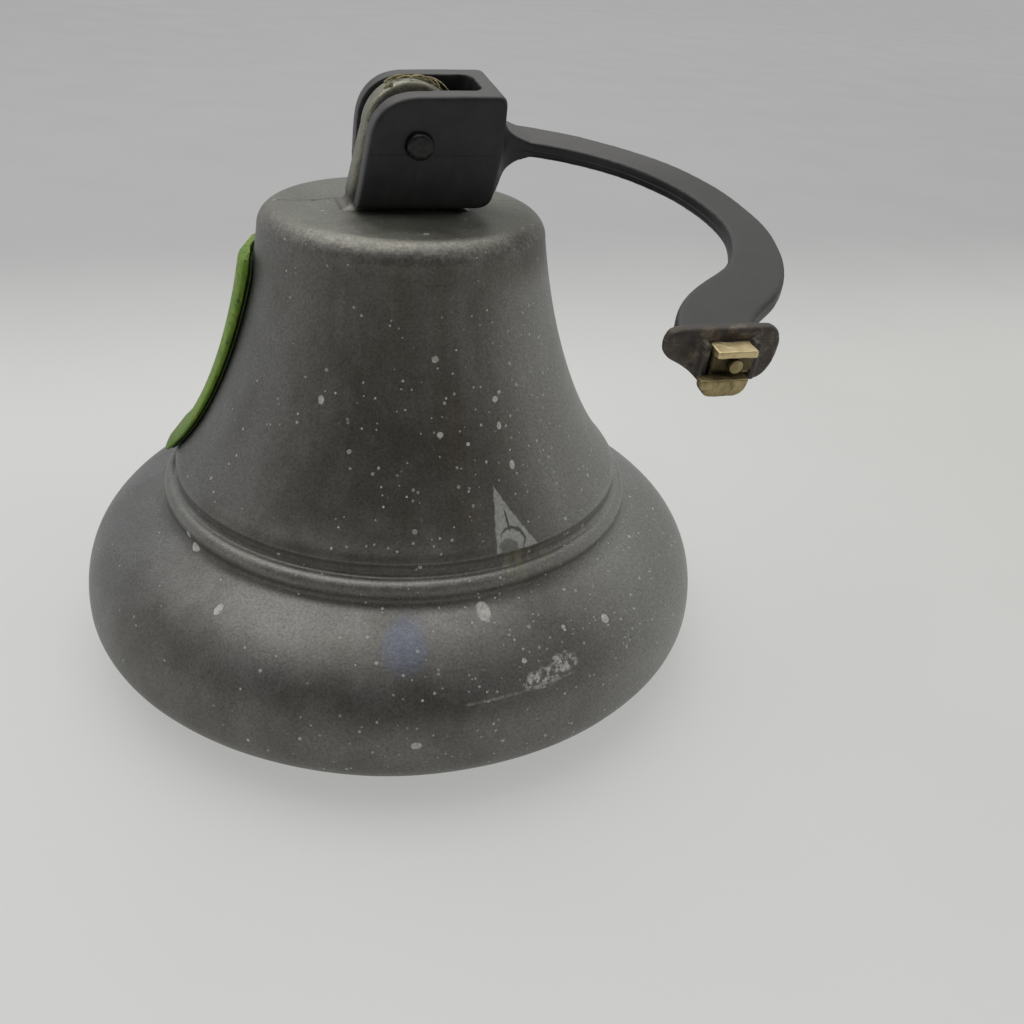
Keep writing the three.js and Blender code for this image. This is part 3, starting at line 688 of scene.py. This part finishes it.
# ---------------------------------------------------------------- camera
HEADING = math.radians(18.506)       # to the right of +Y
PITCH = math.radians(30.51)          # below the horizon
ROLL = math.radians(4.63)
camera_data = bpy.data.cameras.new("camera")
camera_data.sensor_width = 36
camera_data.lens = 35.0
camera = bpy.data.objects.new("camera", camera_data)
scene.collection.objects.link(camera)
camera.matrix_world = (
    Matrix.Translation((-0.04468, -0.21936, 0.168))
    @ Matrix.Rotation(-HEADING, 4, "Z")
    @ Matrix.Rotation(math.pi / 2 - PITCH, 4, "X")
    @ Matrix.Rotation(ROLL, 4, "Z"))
camera_data.clip_start = 0.005
camera_data.clip_end = 100
scene.camera = camera


# ---------------------------------------------------------------- floor and light
def floor_material():
    n = Nodes("pale_floor_painted_glow")
    x, y, _ = n.split(n.place)[:3]
    away = n.math("ADD", n.math("MULTIPLY", x, math.sin(HEADING)), n.math("MULTIPLY", y, math.cos(HEADING)))
    side = n.math("SUBTRACT", n.math("MULTIPLY", x, math.cos(HEADING)), n.math("MULTIPLY", y, math.sin(HEADING)))
    # painted shade: the floor's glow darkens far behind and away from the bell
    back = n.step(n.math("MULTIPLY_ADD", side, -0.35, away), 0.13, 0.42)
    soft = n.noise(n.place, 90, 3, 0.5)
    tone = n.mix(n.math("MULTIPLY", n.step(soft, 0.4, 0.7), 0.5), (0.27, 0.27, 0.265), (0.255, 0.256, 0.25))
    # painted light: the floor glows by emission, a little brighter on the left, which lifts the contact shadow and
    # lights the bell from below
    glow = n.mix(n.step(x, 0.0, 0.3), (0.385, 0.387, 0.378), (0.340, 0.343, 0.325))
    far = n.mix(n.step(away, 0.5, 2.2), (0.185, 0.185, 0.188), (0.245, 0.245, 0.248))
    glow = n.mix(back, glow, far)
    n.put(n.shader.inputs["Emission Color"], glow)
    return n.finish(tone, n.scale(soft, 0.3, 0.7, 0.62, 0.72), n.bump(n.noise(n.place, 2, 2), 0.01),
                    Emission_Strength=1.0)


floor_verts, floor_faces = [], []
FLOOR_RINGS = (0, 250, 800, 2400, 9000, 60000)
for ring, reach in enumerate(FLOOR_RINGS[1:]):
    for j in range(48):
        floor_verts.append((reach * math.cos(j * math.pi / 24), reach * math.sin(j * math.pi / 24), 0))
for ring in range(len(FLOOR_RINGS) - 2):
    for j in range(48):
        k = (j + 1) % 48
        floor_faces.append((ring * 48 + j, (ring + 1) * 48 + j, (ring + 1) * 48 + k, ring * 48 + k))
floor_faces.append(tuple(range(48)))
floor = make_piece("floor", floor_verts, floor_faces)
floor.data.materials.append(floor_material())


def softbox(name, place, aim, width, depth, power, colour=(1.0, 1.0, 1.0)):
    data = bpy.data.lights.new(name, "AREA")
    data.shape = "RECTANGLE"
    data.size = width
    data.size_y = depth
    data.energy = power
    data.color = colour
    lamp = bpy.data.objects.new(name, data)
    scene.collection.objects.link(lamp)
    lamp.location = place
    lamp.rotation_mode = "QUATERNION"
    lamp.rotation_quaternion = (Vector(aim) - Vector(place)).to_track_quat("-Z", "Y")
    return lamp


softbox("top_light", (-0.15, 0.35, 1.3), (0, 0.05, 0), 1.8, 1.5, 10.9)

world = bpy.data.worlds.new("studio")
scene.world = world
world.use_nodes = True
tree = world.node_tree
tree.nodes.clear()


def build_world():
    """Pale all round for the eye. As light it is bright above and behind and dim in front."""
    def add(kind, **settings):
        node = tree.nodes.new(kind)
        for key, value in settings.items():
            setattr(node, key, value)
        return node

    def ramp(value, *numbers):
        node = add("ShaderNodeMapRange", interpolation_type="SMOOTHSTEP")
        tree.links.new(value, node.inputs[0])
        for socket, number in zip(list(node.inputs)[1:5], numbers):
            socket.default_value = number
        return node.outputs[0]

    direction = add("ShaderNodeTexCoord").outputs["Generated"]
    front = add("ShaderNodeVectorMath", operation="DOT_PRODUCT")
    tree.links.new(direction, front.inputs[0])
    front.inputs[1].default_value = (-math.sin(HEADING), -math.cos(HEADING), 0.0)
    strength = add("ShaderNodeMath", operation="MULTIPLY")
    tree.links.new(ramp(front.outputs["Value"], 0.1, 0.9, 0.75, 0.12), strength.inputs[0])
    strength.inputs[1].default_value = 0.68
    light = add("ShaderNodeBackground")
    tree.links.new(strength.outputs[0], light.inputs["Strength"])
    light.inputs["Color"].default_value = (1.0, 1.0, 1.0, 1.0)
    seen = add("ShaderNodeBackground")
    seen.inputs["Color"].default_value = (0.43, 0.43, 0.435, 1.0)
    seen.inputs["Strength"].default_value = 1.0
    choose = add("ShaderNodeMixShader")
    tree.links.new(add("ShaderNodeLightPath").outputs["Is Camera Ray"], choose.inputs[0])
    tree.links.new(light.outputs[0], choose.inputs[1])
    tree.links.new(seen.outputs[0], choose.inputs[2])
    tree.links.new(choose.outputs[0], add("ShaderNodeOutputWorld").inputs[0])


build_world()
scene.view_settings.view_transform = "Standard"


# ---------------------------------------------------------------- bell
FLANK = ((55.6, 49.6), (45, 60), (36.2, 84.5), (33.2, 105.5))
outside = chain(
    bezier((68.7, 0), (74.5, 5.5), (80.3, 9), (80, 15), 16),
    bezier((80, 15), (80, 25), (75.3, 33.2), (62.6, 38.2), 30),
    bezier((62.6, 38.2), (60.2, 39.1), (58.9, 39.9), (59.1, 41.8), 12),
    bezier((59.1, 41.8), (59.4, 43.6), (58.4, 45.1), (56.8, 45.1), 12),
    bezier((56.8, 45.1), (56.0, 45.1), (55.7, 45.8), (55.8, 46.6), 8),
    bezier((55.8, 46.6), (55.7, 47.8), (56.1, 48.2), (56.0, 48.8), 6),
    bezier(*FLANK, 44)[1:],
    arc(28, 105.5, 5.2, 0, 90, 12),
    [(20, CROWN_TOP), (10, CROWN_TOP), (0, CROWN_TOP)])
inside = chain(
    [(0, 102.4), (8.4, 102.4), (9, 102.9), (9, 105.2), (10.1, 106.3), (18, 106.3)],
    arc(24.8, 101.5, 4.8, 90, 0, 8),
    bezier((29.6, 101.5), (32.6, 83), (41.6, 58.6), (50.8, 45.5), 24),
    bezier((54, 37.6), (69, 31), (75, 23), (75, 15), 16),
    bezier((75, 15), (75, 9), (67.5, 5), (63.8, 0), 10))
shell = make_piece("bell_shell_cast", *lathe(inside + outside, 256), BELL_PLACE)
waver(shell, 22, 0.10, 1)

# the lug: rows of points from the rounded edge to a middle line on each side
LUG_HEAD = 10.6
FILLET = 2.4


def lug_mesh():
    base = CROWN_TOP - 0.4 - PIN_HEIGHT
    rises = [base + 0.4 * k for k in range(9)] + [base + 3.6 + 1.2 * k for k in range(11)]
    left, right = [], []
    for z in rises:
        climb = max(0.0, (z + 13.2) / 14.2)
        left.append((-14.1 + 3.5 * climb, z))
        right.append((10.8 - 0.2 * climb, z))
    left = [p for p in left if p[1] < 0.9]
    right = [p for p in right if p[1] < 0.9]
    head = arc(0, 0, LUG_HEAD, 175, 5, 40)
    edge = chain(left, head, right[::-1])
    bevel = 1.1
    verts, faces = [], []
    count = len(edge)
    order = []
    for k in range(5):
        angle = math.pi / 2 * k / 4
        order.append((-1, bevel * (1 - math.sin(angle)), bevel * (1 - math.cos(angle))))
    for k in range(5):
        angle = math.pi / 2 * (4 - k) / 4
        order.append((1, bevel * (1 - math.sin(angle)), bevel * (1 - math.cos(angle))))
    spokes = 7
    strips = []
    for side_spoke in range(spokes, 0, -1):
        strips.append((-1, side_spoke / spokes))
    for item in order:
        strips.append(item)
    for side_spoke in range(1, spokes + 1):
        strips.append((1, side_spoke / spokes))
    for strip in strips:
        for i, (u, v) in enumerate(edge):
            climb = (v + PIN_RISE) / (PIN_RISE + LUG_HEAD)
            half = 4.0 - 0.4 * climb
            spine = (0.0, min(v, 0.0))
            reach = math.dist((u, v), spine)
            toward = ((spine[0] - u) / reach, (spine[1] - v) / reach)
            if len(strip) == 3:
                side, inward, drop = strip
                move, depth = inward, half - drop
            else:
                side, share = strip
                move, depth = bevel + (reach - bevel) * share * 0.999, half
            p = [u + toward[0] * move, side * depth, v + toward[1] * move]
            low = (v + PIN_RISE) / FILLET
            if low < 1:
                flare = FILLET * (1 - math.sqrt(max(0.0, 1 - (1 - max(low, 0)) ** 2)))
                p[1] += side * flare * (1 if depth > 2 else depth / 2)
                share_x = 1 - min(1.0, move / 3)
                p[0] += math.copysign(flare * share_x, u)
            verts.append(tuple(p))
    for s in range(len(strips) - 1):
        for i in range(count - 1):
            faces.append((s * count + i, s * count + i + 1, (s + 1) * count + i + 1, (s + 1) * count + i))
    return verts, faces


lug = make_piece("lug", *lug_mesh(), BELL_PLACE @ Matrix.Translation((PIN_SHIFT, 0, PIN_HEIGHT)))
bell = merge_into(shell, [lug])
bell.name = "bell_shell_cast"
finish_piece(bell, BELL, "bell", "bell_metal", "bell_shell")

# ---------------------------------------------------------------- dirt and straw caught on the lug
def lump(name, place, size, seed):
    """A crumb of dirt, a ball pushed about by noise."""
    verts, faces = lathe(arc(0, 0, 1, -90, 90, 14), 22, closed=False)
    crumb = []
    for v in verts:
        v = Vector(v).normalized()
        reach = 1 + 0.55 * noise.noise(v * 1.9 + Vector((seed, 2 * seed, 0)))
        crumb.append(tuple(v * reach * size + Vector(place)))
    return make_piece(name, crumb, faces, LUG_PLACE)


def fibre(name, points, radius):
    """A bent stalk through the given places, thinner towards its end."""
    (a, b, c, d), steps, sides = [Vector(p) for p in points], 26, 7
    verts, faces = [], []
    for i in range(steps + 1):
        t = i / steps
        s = 1 - t
        centre = a * s ** 3 + b * 3 * s * s * t + c * 3 * s * t * t + d * t ** 3
        along = ((b - a) * s * s + (c - b) * 2 * s * t + (d - c) * t * t).normalized()
        side = along.cross(Vector((0.2, 0.1, 1))).normalized()
        over = along.cross(side)
        thick = radius * (1 - 0.6 * t)
        for j in range(sides):
            angle = 2 * math.pi * j / sides
            verts.append(tuple(centre + side * math.cos(angle) * thick + over * math.sin(angle) * thick))
    for i in range(steps):
        for j in range(sides):
            k = (j + 1) % sides
            faces.append((i * sides + j, i * sides + k, (i + 1) * sides + k, (i + 1) * sides + j))
    faces.append(tuple(range(sides))[::-1])
    faces.append(tuple(range(steps * sides, (steps + 1) * sides)))
    return make_piece(name, verts, faces, LUG_PLACE)


def on_head(turn, across, above=0.0):
    """A place on the lug's round head: turn from straight up to the right, and depth across it."""
    angle = math.radians(turn)
    reach = LUG_HEAD + above
    return reach * math.sin(angle), across, reach * math.cos(angle)


LUG_PLACE = BELL_PLACE @ Matrix.Translation((PIN_SHIFT, 0, PIN_HEIGHT))
crumbs = []
for index in range(34):
    turn = -34 + 76 * ((index * 0.618) % 1.0)
    across = -2.9 + 5.8 * ((index * 0.381 + 0.13) % 1.0)
    size = 0.30 + 0.75 * ((index * 0.271 + 0.4) % 1.0) * (1 - abs(turn - 8) / 62)
    crumbs.append(lump("crumb", on_head(turn, across, -0.15), size, index * 1.7))
dirt = merge_into(crumbs[0], crumbs[1:])
dirt.name = "slot_dirt"
dirt.data.materials.append(DIRT)
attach(dirt, "bell")
stalks = [
    ((12, -1.5, 0.5), (20, -2.0, 1.9), (32, -3.2, 1.7), (43, -4.4, 0.9)),
    ((-4, -2.6, 0.3), (6, -2.9, 1.5), (16, -1.8, 1.3), (26, -0.6, 0.4)),
    ((2, 1.2, 0.2), (9, 0.2, 1.2), (18, -0.9, 1.1), (27, -2.6, 0.4)),
    ((-18, -0.4, 0.2), (-10, -1.8, 1.1), (0, -2.9, 0.9), (9, -2.2, 0.4)),
    ((20, 2.2, 0.3), (24, 0.4, 1.4), (27, -1.8, 1.3), (31, -3.4, 0.5)),
    ((-30, 1.8, 0.2), (-22, 0.8, 0.9), (-12, 1.4, 0.9), (-3, 0.4, 0.3))]
straws = [fibre("straw", [on_head(*p) for p in stalk], 0.19 + 0.03 * (i % 3)) for i, stalk in enumerate(stalks)]
straw = merge_into(straws[0], straws[1:])
straw.name = "slot_straw"
straw.data.materials.append(STRAW)
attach(straw, "bell")

# ---------------------------------------------------------------- bracket
FORK_HALF = 11.0
SLOT_HALF = 6.2
ARM_LOW, ARM_TOP = -3.4, 0.0
PAD_FRONT = -97.4

fork_outline = chain(
    [(-13.5, -14.1), (-12.2, -7), (-10.9, 0.5)],
    bezier((-10.9, 0.5), (-10.3, 6.4), (-6, 10), (0, 10.1), 24),
    [(8, 10.35), (16.7, 10.6)],
    quad_curve((16.7, 10.6), (18.9, 10.6), (19, 8.6), 8),
    [(19, 3), (19, -2), (17.6, -10.9)],
    quad_curve((17.6, -10.9), (17, -14.1), (13.4, -14.1), 8),
    [(0, -14.1)])
fork = make_piece("fork", *prism(fork_outline, -FORK_HALF, FORK_HALF, 1.0, along_y, 4), smooth=False)
slot_outline = chain(
    [(-30, -SLOT_HALF), (11.9, -SLOT_HALF)],
    arc(11.9, -3.6, 2.6, -90, 0, 8), arc(11.9, 3.6, 2.6, 0, 90, 8),
    [(-30, SLOT_HALF)])
slot_tool = make_piece("slot_tool", *prism(slot_outline, -30, 30, 0, along_z), smooth=False)
boolean(fork, slot_tool, "DIFFERENCE")
# the rear cheek's lower end is cut back more steeply than the front one
trim_outline = [(-10.9, 0.5), (-30, 0.5), (-30, -20), (-11.8, -20)]
trim_tool = make_piece("trim_tool", *prism(trim_outline, -20, -4, 0, along_y), smooth=False)
boolean(fork, trim_tool, "DIFFERENCE")
bolt_tool = make_piece("bolt_tool", *prism(arc(0, 0, 2.7, 0, 354, 59), -20, 20, 0, along_y), smooth=False)
boolean(fork, bolt_tool, "DIFFERENCE")

arm_outline = chain(
    [(16.2, 10.0), (18.6, 10.0)],
    bezier((18.6, 10.0), (20, 7.6), (23, 6.9), (27.6, 5.3), 10),
    bezier((27.6, 5.3), (47.6, -5), (61.4, -21), (60.8, -49), 40),
    bezier((60.8, -49), (60.7, -61), (55.9, -75), (49, -83.2), 20),
    bezier((49, -83.2), (45.6, -87.6), (39.8, -91), (37, PAD_FRONT + 0.8), 14),
    [(23.8, PAD_FRONT + 0.8)],
    bezier((23.8, PAD_FRONT + 0.8), (28, -82.5), (37.6, -79), (43, -73.2), 18),
    bezier((43, -73.2), (47.8, -67.5), (52, -58.5), (52.1, -49.5), 16),
    bezier((52.1, -49.5), (52.2, -29.8), (42, -14), (26.4, -7.4), 34),
    bezier((26.4, -7.4), (22, -6.4), (20, -7.6), (18.6, -10.0), 8),
    [(16.2, -10.0)])
arm = make_piece("arm", *prism(arm_outline, ARM_LOW, ARM_TOP, 0.7, along_z), smooth=False)
root_outline = chain(
    [(16.2, 7.4), (18.7, 7.4)],
    bezier((18.7, 7.4), (19.2, 3), (21.5, 0.8), (28, ARM_TOP - 0.5), 10),
    [(28, ARM_LOW + 0.5)],
    bezier((28, ARM_LOW + 0.5), (21.5, ARM_LOW - 1), (19.2, -6.2), (18, -10.4), 10),
    [(16.2, -10.4)])
root = make_piece("root", *prism(root_outline, -12, 12, 0, along_y), smooth=False)
tall_arm = make_piece("tall_arm", *prism(arm_outline, -13, 10, 0, along_z), smooth=False)
boolean(root, tall_arm, "INTERSECT")

pad_outline = chain(
    [(24.2, 0.3), (39.8, 0.3)],
    quad_curve((39.8, 0.3), (42.2, 0.1), (42.2, -3.4), 8),
    quad_curve((42.2, -3.4), (42, -8.2), (39.2, -9.2), 8),
    [(29.6, -9.4)],
    quad_curve((29.6, -9.4), (26.6, -6.8), (24, -5.4), 6),
    quad_curve((24, -5.4), (21.9, -4.6), (21.9, -2.6), 6),
    quad_curve((21.9, -2.6), (22, 0.3), (24.2, 0.3), 8))
# along_y turns w into -y, so the pad's levels are written as minus y
pad = make_piece("pad", *prism(pad_outline, -PAD_FRONT - 2.2, -PAD_FRONT, 0.5, along_y), smooth=False)
ribs = []
for left in (27.7, 36.5):
    rib_outline = [(left, -8.1), (left + 1.2, -8.1), (left + 1.2, -1.3), (left, -1.3)]
    ribs.append(make_piece("rib", *prism(rib_outline, -PAD_FRONT - 0.6, -PAD_FRONT + 2.2, 0.3, along_y),
                           smooth=False))
bracket = merge_into(fork, [arm, root, pad, *ribs])
bracket.name = "bracket_casting"
bracket.data.transform(Matrix.Scale(1 / MM, 4))
bracket.data.transform(FORK_PLACE)
bracket.data.transform(Matrix.Scale(MM, 4))
cast_skin(bracket, 0.36, 5)
waver(bracket, 9, 0.12, 2)
finish_piece(bracket, CASTING, "bracket", "black_casting", "bracket")


# ---------------------------------------------------------------- pivot bolt, washer and nut
def turned(name, profile, place, segments=64, closed=False):
    """A turned piece whose profile is (radius, distance along the fork's Y)."""
    verts, faces = lathe(profile, segments, closed)
    turn = Matrix.Rotation(-math.pi / 2, 4, "X")
    return make_piece(name, verts, faces, place @ turn)


def hex_nut(name, radius, bore, thick, place, chamfer=0.7):
    """A nut about Z whose top and bottom corners are chamfered by a cone."""
    verts, faces = [], []
    across = radius * math.cos(math.pi / 6)
    sides = 72
    levels = [0.0, 0.25, 0.5, 0.75, 1.0]
    rings = []
    profile = []
    for level in levels:
        profile.append((across - 0.15 + (radius - across + 0.15) * level, chamfer * level ** 1.6))
    profile += [(radius, thick - h) for _, h in [(0, chamfer)]]
    profile += [(r, thick - h) for r, h in reversed(profile[:-1])]
    for cap, height in profile:
        ring = []
        for j in range(sides):
            angle = 2 * math.pi * j / sides
            off = (angle % (math.pi / 3)) - math.pi / 6
            flat = across / math.cos(off)
            r = min(flat, cap)
            ring.append(len(verts))
            verts.append((r * math.cos(angle), r * math.sin(angle), height))
        rings.append(ring)
    for r, height in ((bore + 0.35, thick), (bore, thick - 0.35), (bore, 0.35), (bore + 0.35, 0.0)):
        ring = []
        for j in range(sides):
            angle = 2 * math.pi * j / sides
            ring.append(len(verts))
            verts.append((r * math.cos(angle), r * math.sin(angle), height))
        rings.append(ring)
    for low, high in zip(rings, rings[1:] + rings[:1]):
        for j in range(sides):
            k = (j + 1) % sides
            faces.append((low[j], low[k], high[k], high[j]))
    return make_piece(name, verts, faces, place)


def set_sharp(piece, angle=35):
    piece.data.set_sharp_from_angle(angle=math.radians(angle))
    return piece


HEAD_FACE = -(FORK_HALF + 0.3)
bolt_profile = chain(
    bezier((0, HEAD_FACE - 1.55), (1.4, HEAD_FACE - 1.55), (2.5, HEAD_FACE - 1.45), (2.8, HEAD_FACE - 0.9), 12),
    [(2.9, HEAD_FACE - 0.5), (2.9, HEAD_FACE), (2.4, HEAD_FACE), (2.4, 18.0), (2.0, 18.8), (0, 18.8)])
bolt = turned("pivot_bolt_head", [(max(r, 0.0), y) for r, y in bolt_profile], FORK_PLACE)
waver(bolt, 1.4, 0.12, 3)
finish_piece(set_sharp(bolt), BOLT, "bracket", "dark_steel", "pivot_bolt")

washer_profile = [(2.7, 11.3), (4.8, 11.3), (5.0, 11.5), (5.0, 12.1), (4.8, 12.3), (2.7, 12.3)]
washer = turned("pivot_washer_plate", washer_profile, FORK_PLACE, closed=True)
finish_piece(set_sharp(washer), NUT_STEEL, "bracket", "dark_steel", "pivot_washer")
AXIS_Y = Matrix.Rotation(-math.pi / 2, 4, "X")
nut = hex_nut("pivot_nut_hex", 4.6, 2.7, 4, FORK_PLACE @ Matrix.Translation((0, 12.6, 0)) @ AXIS_Y)
finish_piece(set_sharp(nut), NUT_STEEL, "bracket", "dark_steel", "pivot_nut")

# ---------------------------------------------------------------- brass foot and its screw
FOOT_BACK = PAD_FRONT - 0.3
def foot_slab(name, side, left, right):
    return make_piece(name, *prism(side, left, right, 0.2, lambda u, v, w: (w, FOOT_BACK - u, v)), smooth=False)


FOOT_TOP, FOOT_STEP, FOOT_LOW = -1.7, -6.0, -8.9
ledge_side = [(0, FOOT_TOP), (3.6, FOOT_TOP), (3.6, FOOT_TOP - 1.2), (2.6, FOOT_TOP - 1.4), (2.6, FOOT_STEP + 0.5),
              (2.0, FOOT_STEP + 0.4), (2.0, FOOT_STEP - 0.3), (0, FOOT_STEP - 0.3)]
foot = foot_slab("foot", ledge_side, 29.2, 36.2)
lower_side = [(0, FOOT_STEP), (4.4, FOOT_STEP), (4.3, FOOT_LOW + 0.6), (3.6, FOOT_LOW), (0, FOOT_LOW)]
lower = foot_slab("lower", lower_side, 29.2, 34.9)
chin_outline = chain(
    [(26.7, FOOT_STEP), (34.9, FOOT_STEP), (34.7, -7.5)],
    quad_curve((34.7, -7.5), (34.1, -9), (32.5, -9), 6), [(29.2, -9)],
    quad_curve((29.2, -9), (27.5, -9), (26.9, -7.5), 6))
chin = make_piece("chin", *prism(chin_outline, -FOOT_BACK + 2.6, -FOOT_BACK + 4.8, 0.3, along_y),
                  smooth=False)
foot = merge_into(foot, [lower, chin])
foot.name = "mount_foot_brass"
foot.data.transform(Matrix.Scale(MM, 4) @ FORK_PLACE @ Matrix.Scale(1 / MM, 4))
cast_skin(foot, 0.14, 3)
waver(foot, 1.6, 0.10, 4)
finish_piece(foot, BRASS, "bracket", "brass", "mount_foot")
foot_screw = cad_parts["foot_screw"]
foot_screw.data.materials.clear()
foot_screw.data.materials.append(BRASS)


# ---------------------------------------------------------------- label on the flank
def strip(name, from_t, to_t, half_width, under, over, swell, end_length, rows=90, columns=44):
    """A pillowed plate that follows the flank. t runs up the flank's curve."""
    verts, faces = [], []
    line = bezier(*FLANK, 400)

    def at(t, across, lift):
        k = min(len(line) - 2, max(0, math.floor(t * 400)))
        r, z = line[k]
        dr, dz = line[k + 1][0] - r, line[k + 1][1] - z
        length = math.hypot(dr, dz)
        share = t * 400 - k
        r, z = r + dr * share, z + dz * share
        angle = math.radians(156) + across / r
        rr, zz = r + dz / length * lift, z - dr / length * lift
        return rr * math.cos(angle), rr * math.sin(angle), zz

    around = 2 * columns
    for i in range(rows + 1):
        t = from_t + (to_t - from_t) * i / rows
        end = min(1.0, min(i, rows - i) / rows * (to_t - from_t) / end_length)
        width = half_width * (0.75 + 0.25 * math.sqrt(max(0.0, 1 - (1 - end) ** 2)))
        thick = (over + swell * t - under) * math.sqrt(max(0.0, 1 - (1 - end) ** 4)) + 0.02
        for j in range(around):
            angle = 2 * math.pi * j / around
            c, s = math.cos(angle), math.sin(angle)
            across = width * math.copysign(abs(c) ** 0.22, c)
            rise = 0.5 + 0.5 * math.copysign(abs(s) ** 0.55, s)
            verts.append(at(t, across, under + thick * rise))
    for i in range(rows):
        for j in range(around):
            k = (j + 1) % around
            faces.append((i * around + j, i * around + k, (i + 1) * around + k, (i + 1) * around + j))
    faces.append(tuple(range(around))[::-1])
    faces.append(tuple(range(rows * around, (rows + 1) * around)))
    return make_piece(name, verts, faces, BELL_PLACE)


label = strip("label_plate_green", -0.085, 0.915, 19, 0.85, 1.95, 1.55, 0.07)
finish_piece(label, GREEN, "bell", "green_label", "label_plate")
# a real pad whose dark green colour also stands in for the shade under the label
backing = strip("label_backing_pad", -0.06, 0.895, 18.3, 0.1, 0.9, 0.0, 0.07, 60, 24)
finish_piece(backing, BACKING, "bell", "label_backing", "label_backing")


# ---------------------------------------------------------------- clapper
def ring(name, centre_z, axis, wire, radius=6.2):
    verts, faces = lathe(arc(radius, 0, wire, 0, 345, 23), 72)
    turn = Matrix.Rotation(math.pi / 2, 4, "X" if axis == "Y" else "Y")
    return make_piece(name, verts, faces, BELL_PLACE @ Matrix.Translation((0, 0, centre_z)) @ turn)


def turned_z(name, profile, segments=48, closed=False):
    return make_piece(name, *lathe(profile, segments, closed), BELL_PLACE)


stud = turned_z("stud", [(0, 96.9), (2.6, 96.9), (3, 97.4), (3, 107.7), (2.6, 108.1), (0, 108.1)])
eye = merge_into(ring("eye_bolt_forged", 90.2, "Y", 2.0), [stud])
finish_piece(set_sharp(eye), STEEL, "bell", "dark_steel", "eye_bolt")
locknut = hex_nut("eye_locknut_hex", 5.6, 3.3, 3, BELL_PLACE @ Matrix.Translation((0, 0, 99.1)))
finish_piece(set_sharp(locknut), STEEL, "bell", "dark_steel", "eye_locknut")
link = ring("clapper_link_ring", 81.7, "X", 1.7)
finish_piece(link, STEEL, "link", "dark_steel", "clapper_link")
shank = turned_z("shank", chain(
    [(0, 2), (2.2, 2), (2.6, 2.4), (2.6, 27.3), (3.4, 27.3), (3.8, 27.7), (3.8, 29.3), (3.4, 29.7)],
    [(2.6, 29.7), (2.6, 66), (2.6, 67.8), (0, 67.8)]))
rod = merge_into(ring("clapper_rod_forged", 73.2, "Y", 2.0), [shank])
finish_piece(set_sharp(rod), STEEL, "clapper", "dark_steel", "clapper_rod")
ball_profile = chain(
    [(2.9, 7.0), (6.2, 7.0)], arc(0, 16.4, 11.5, -54, 69.2, 40), [(4.1, 26.2), (2.9, 26.2)])
ball = turned_z("clapper_ball_cast", ball_profile, 96, True)
waver(ball, 5, 0.08, 5)
finish_piece(set_sharp(ball, 50), BELL, "clapper", "bell_metal", "clapper_ball")
ball_nut = hex_nut("ball_nut_hex", 4.8, 2.9, 3.4, BELL_PLACE @ Matrix.Translation((0, 0, 3.3)))
finish_piece(set_sharp(ball_nut), STEEL, "clapper", "dark_steel", "ball_nut")
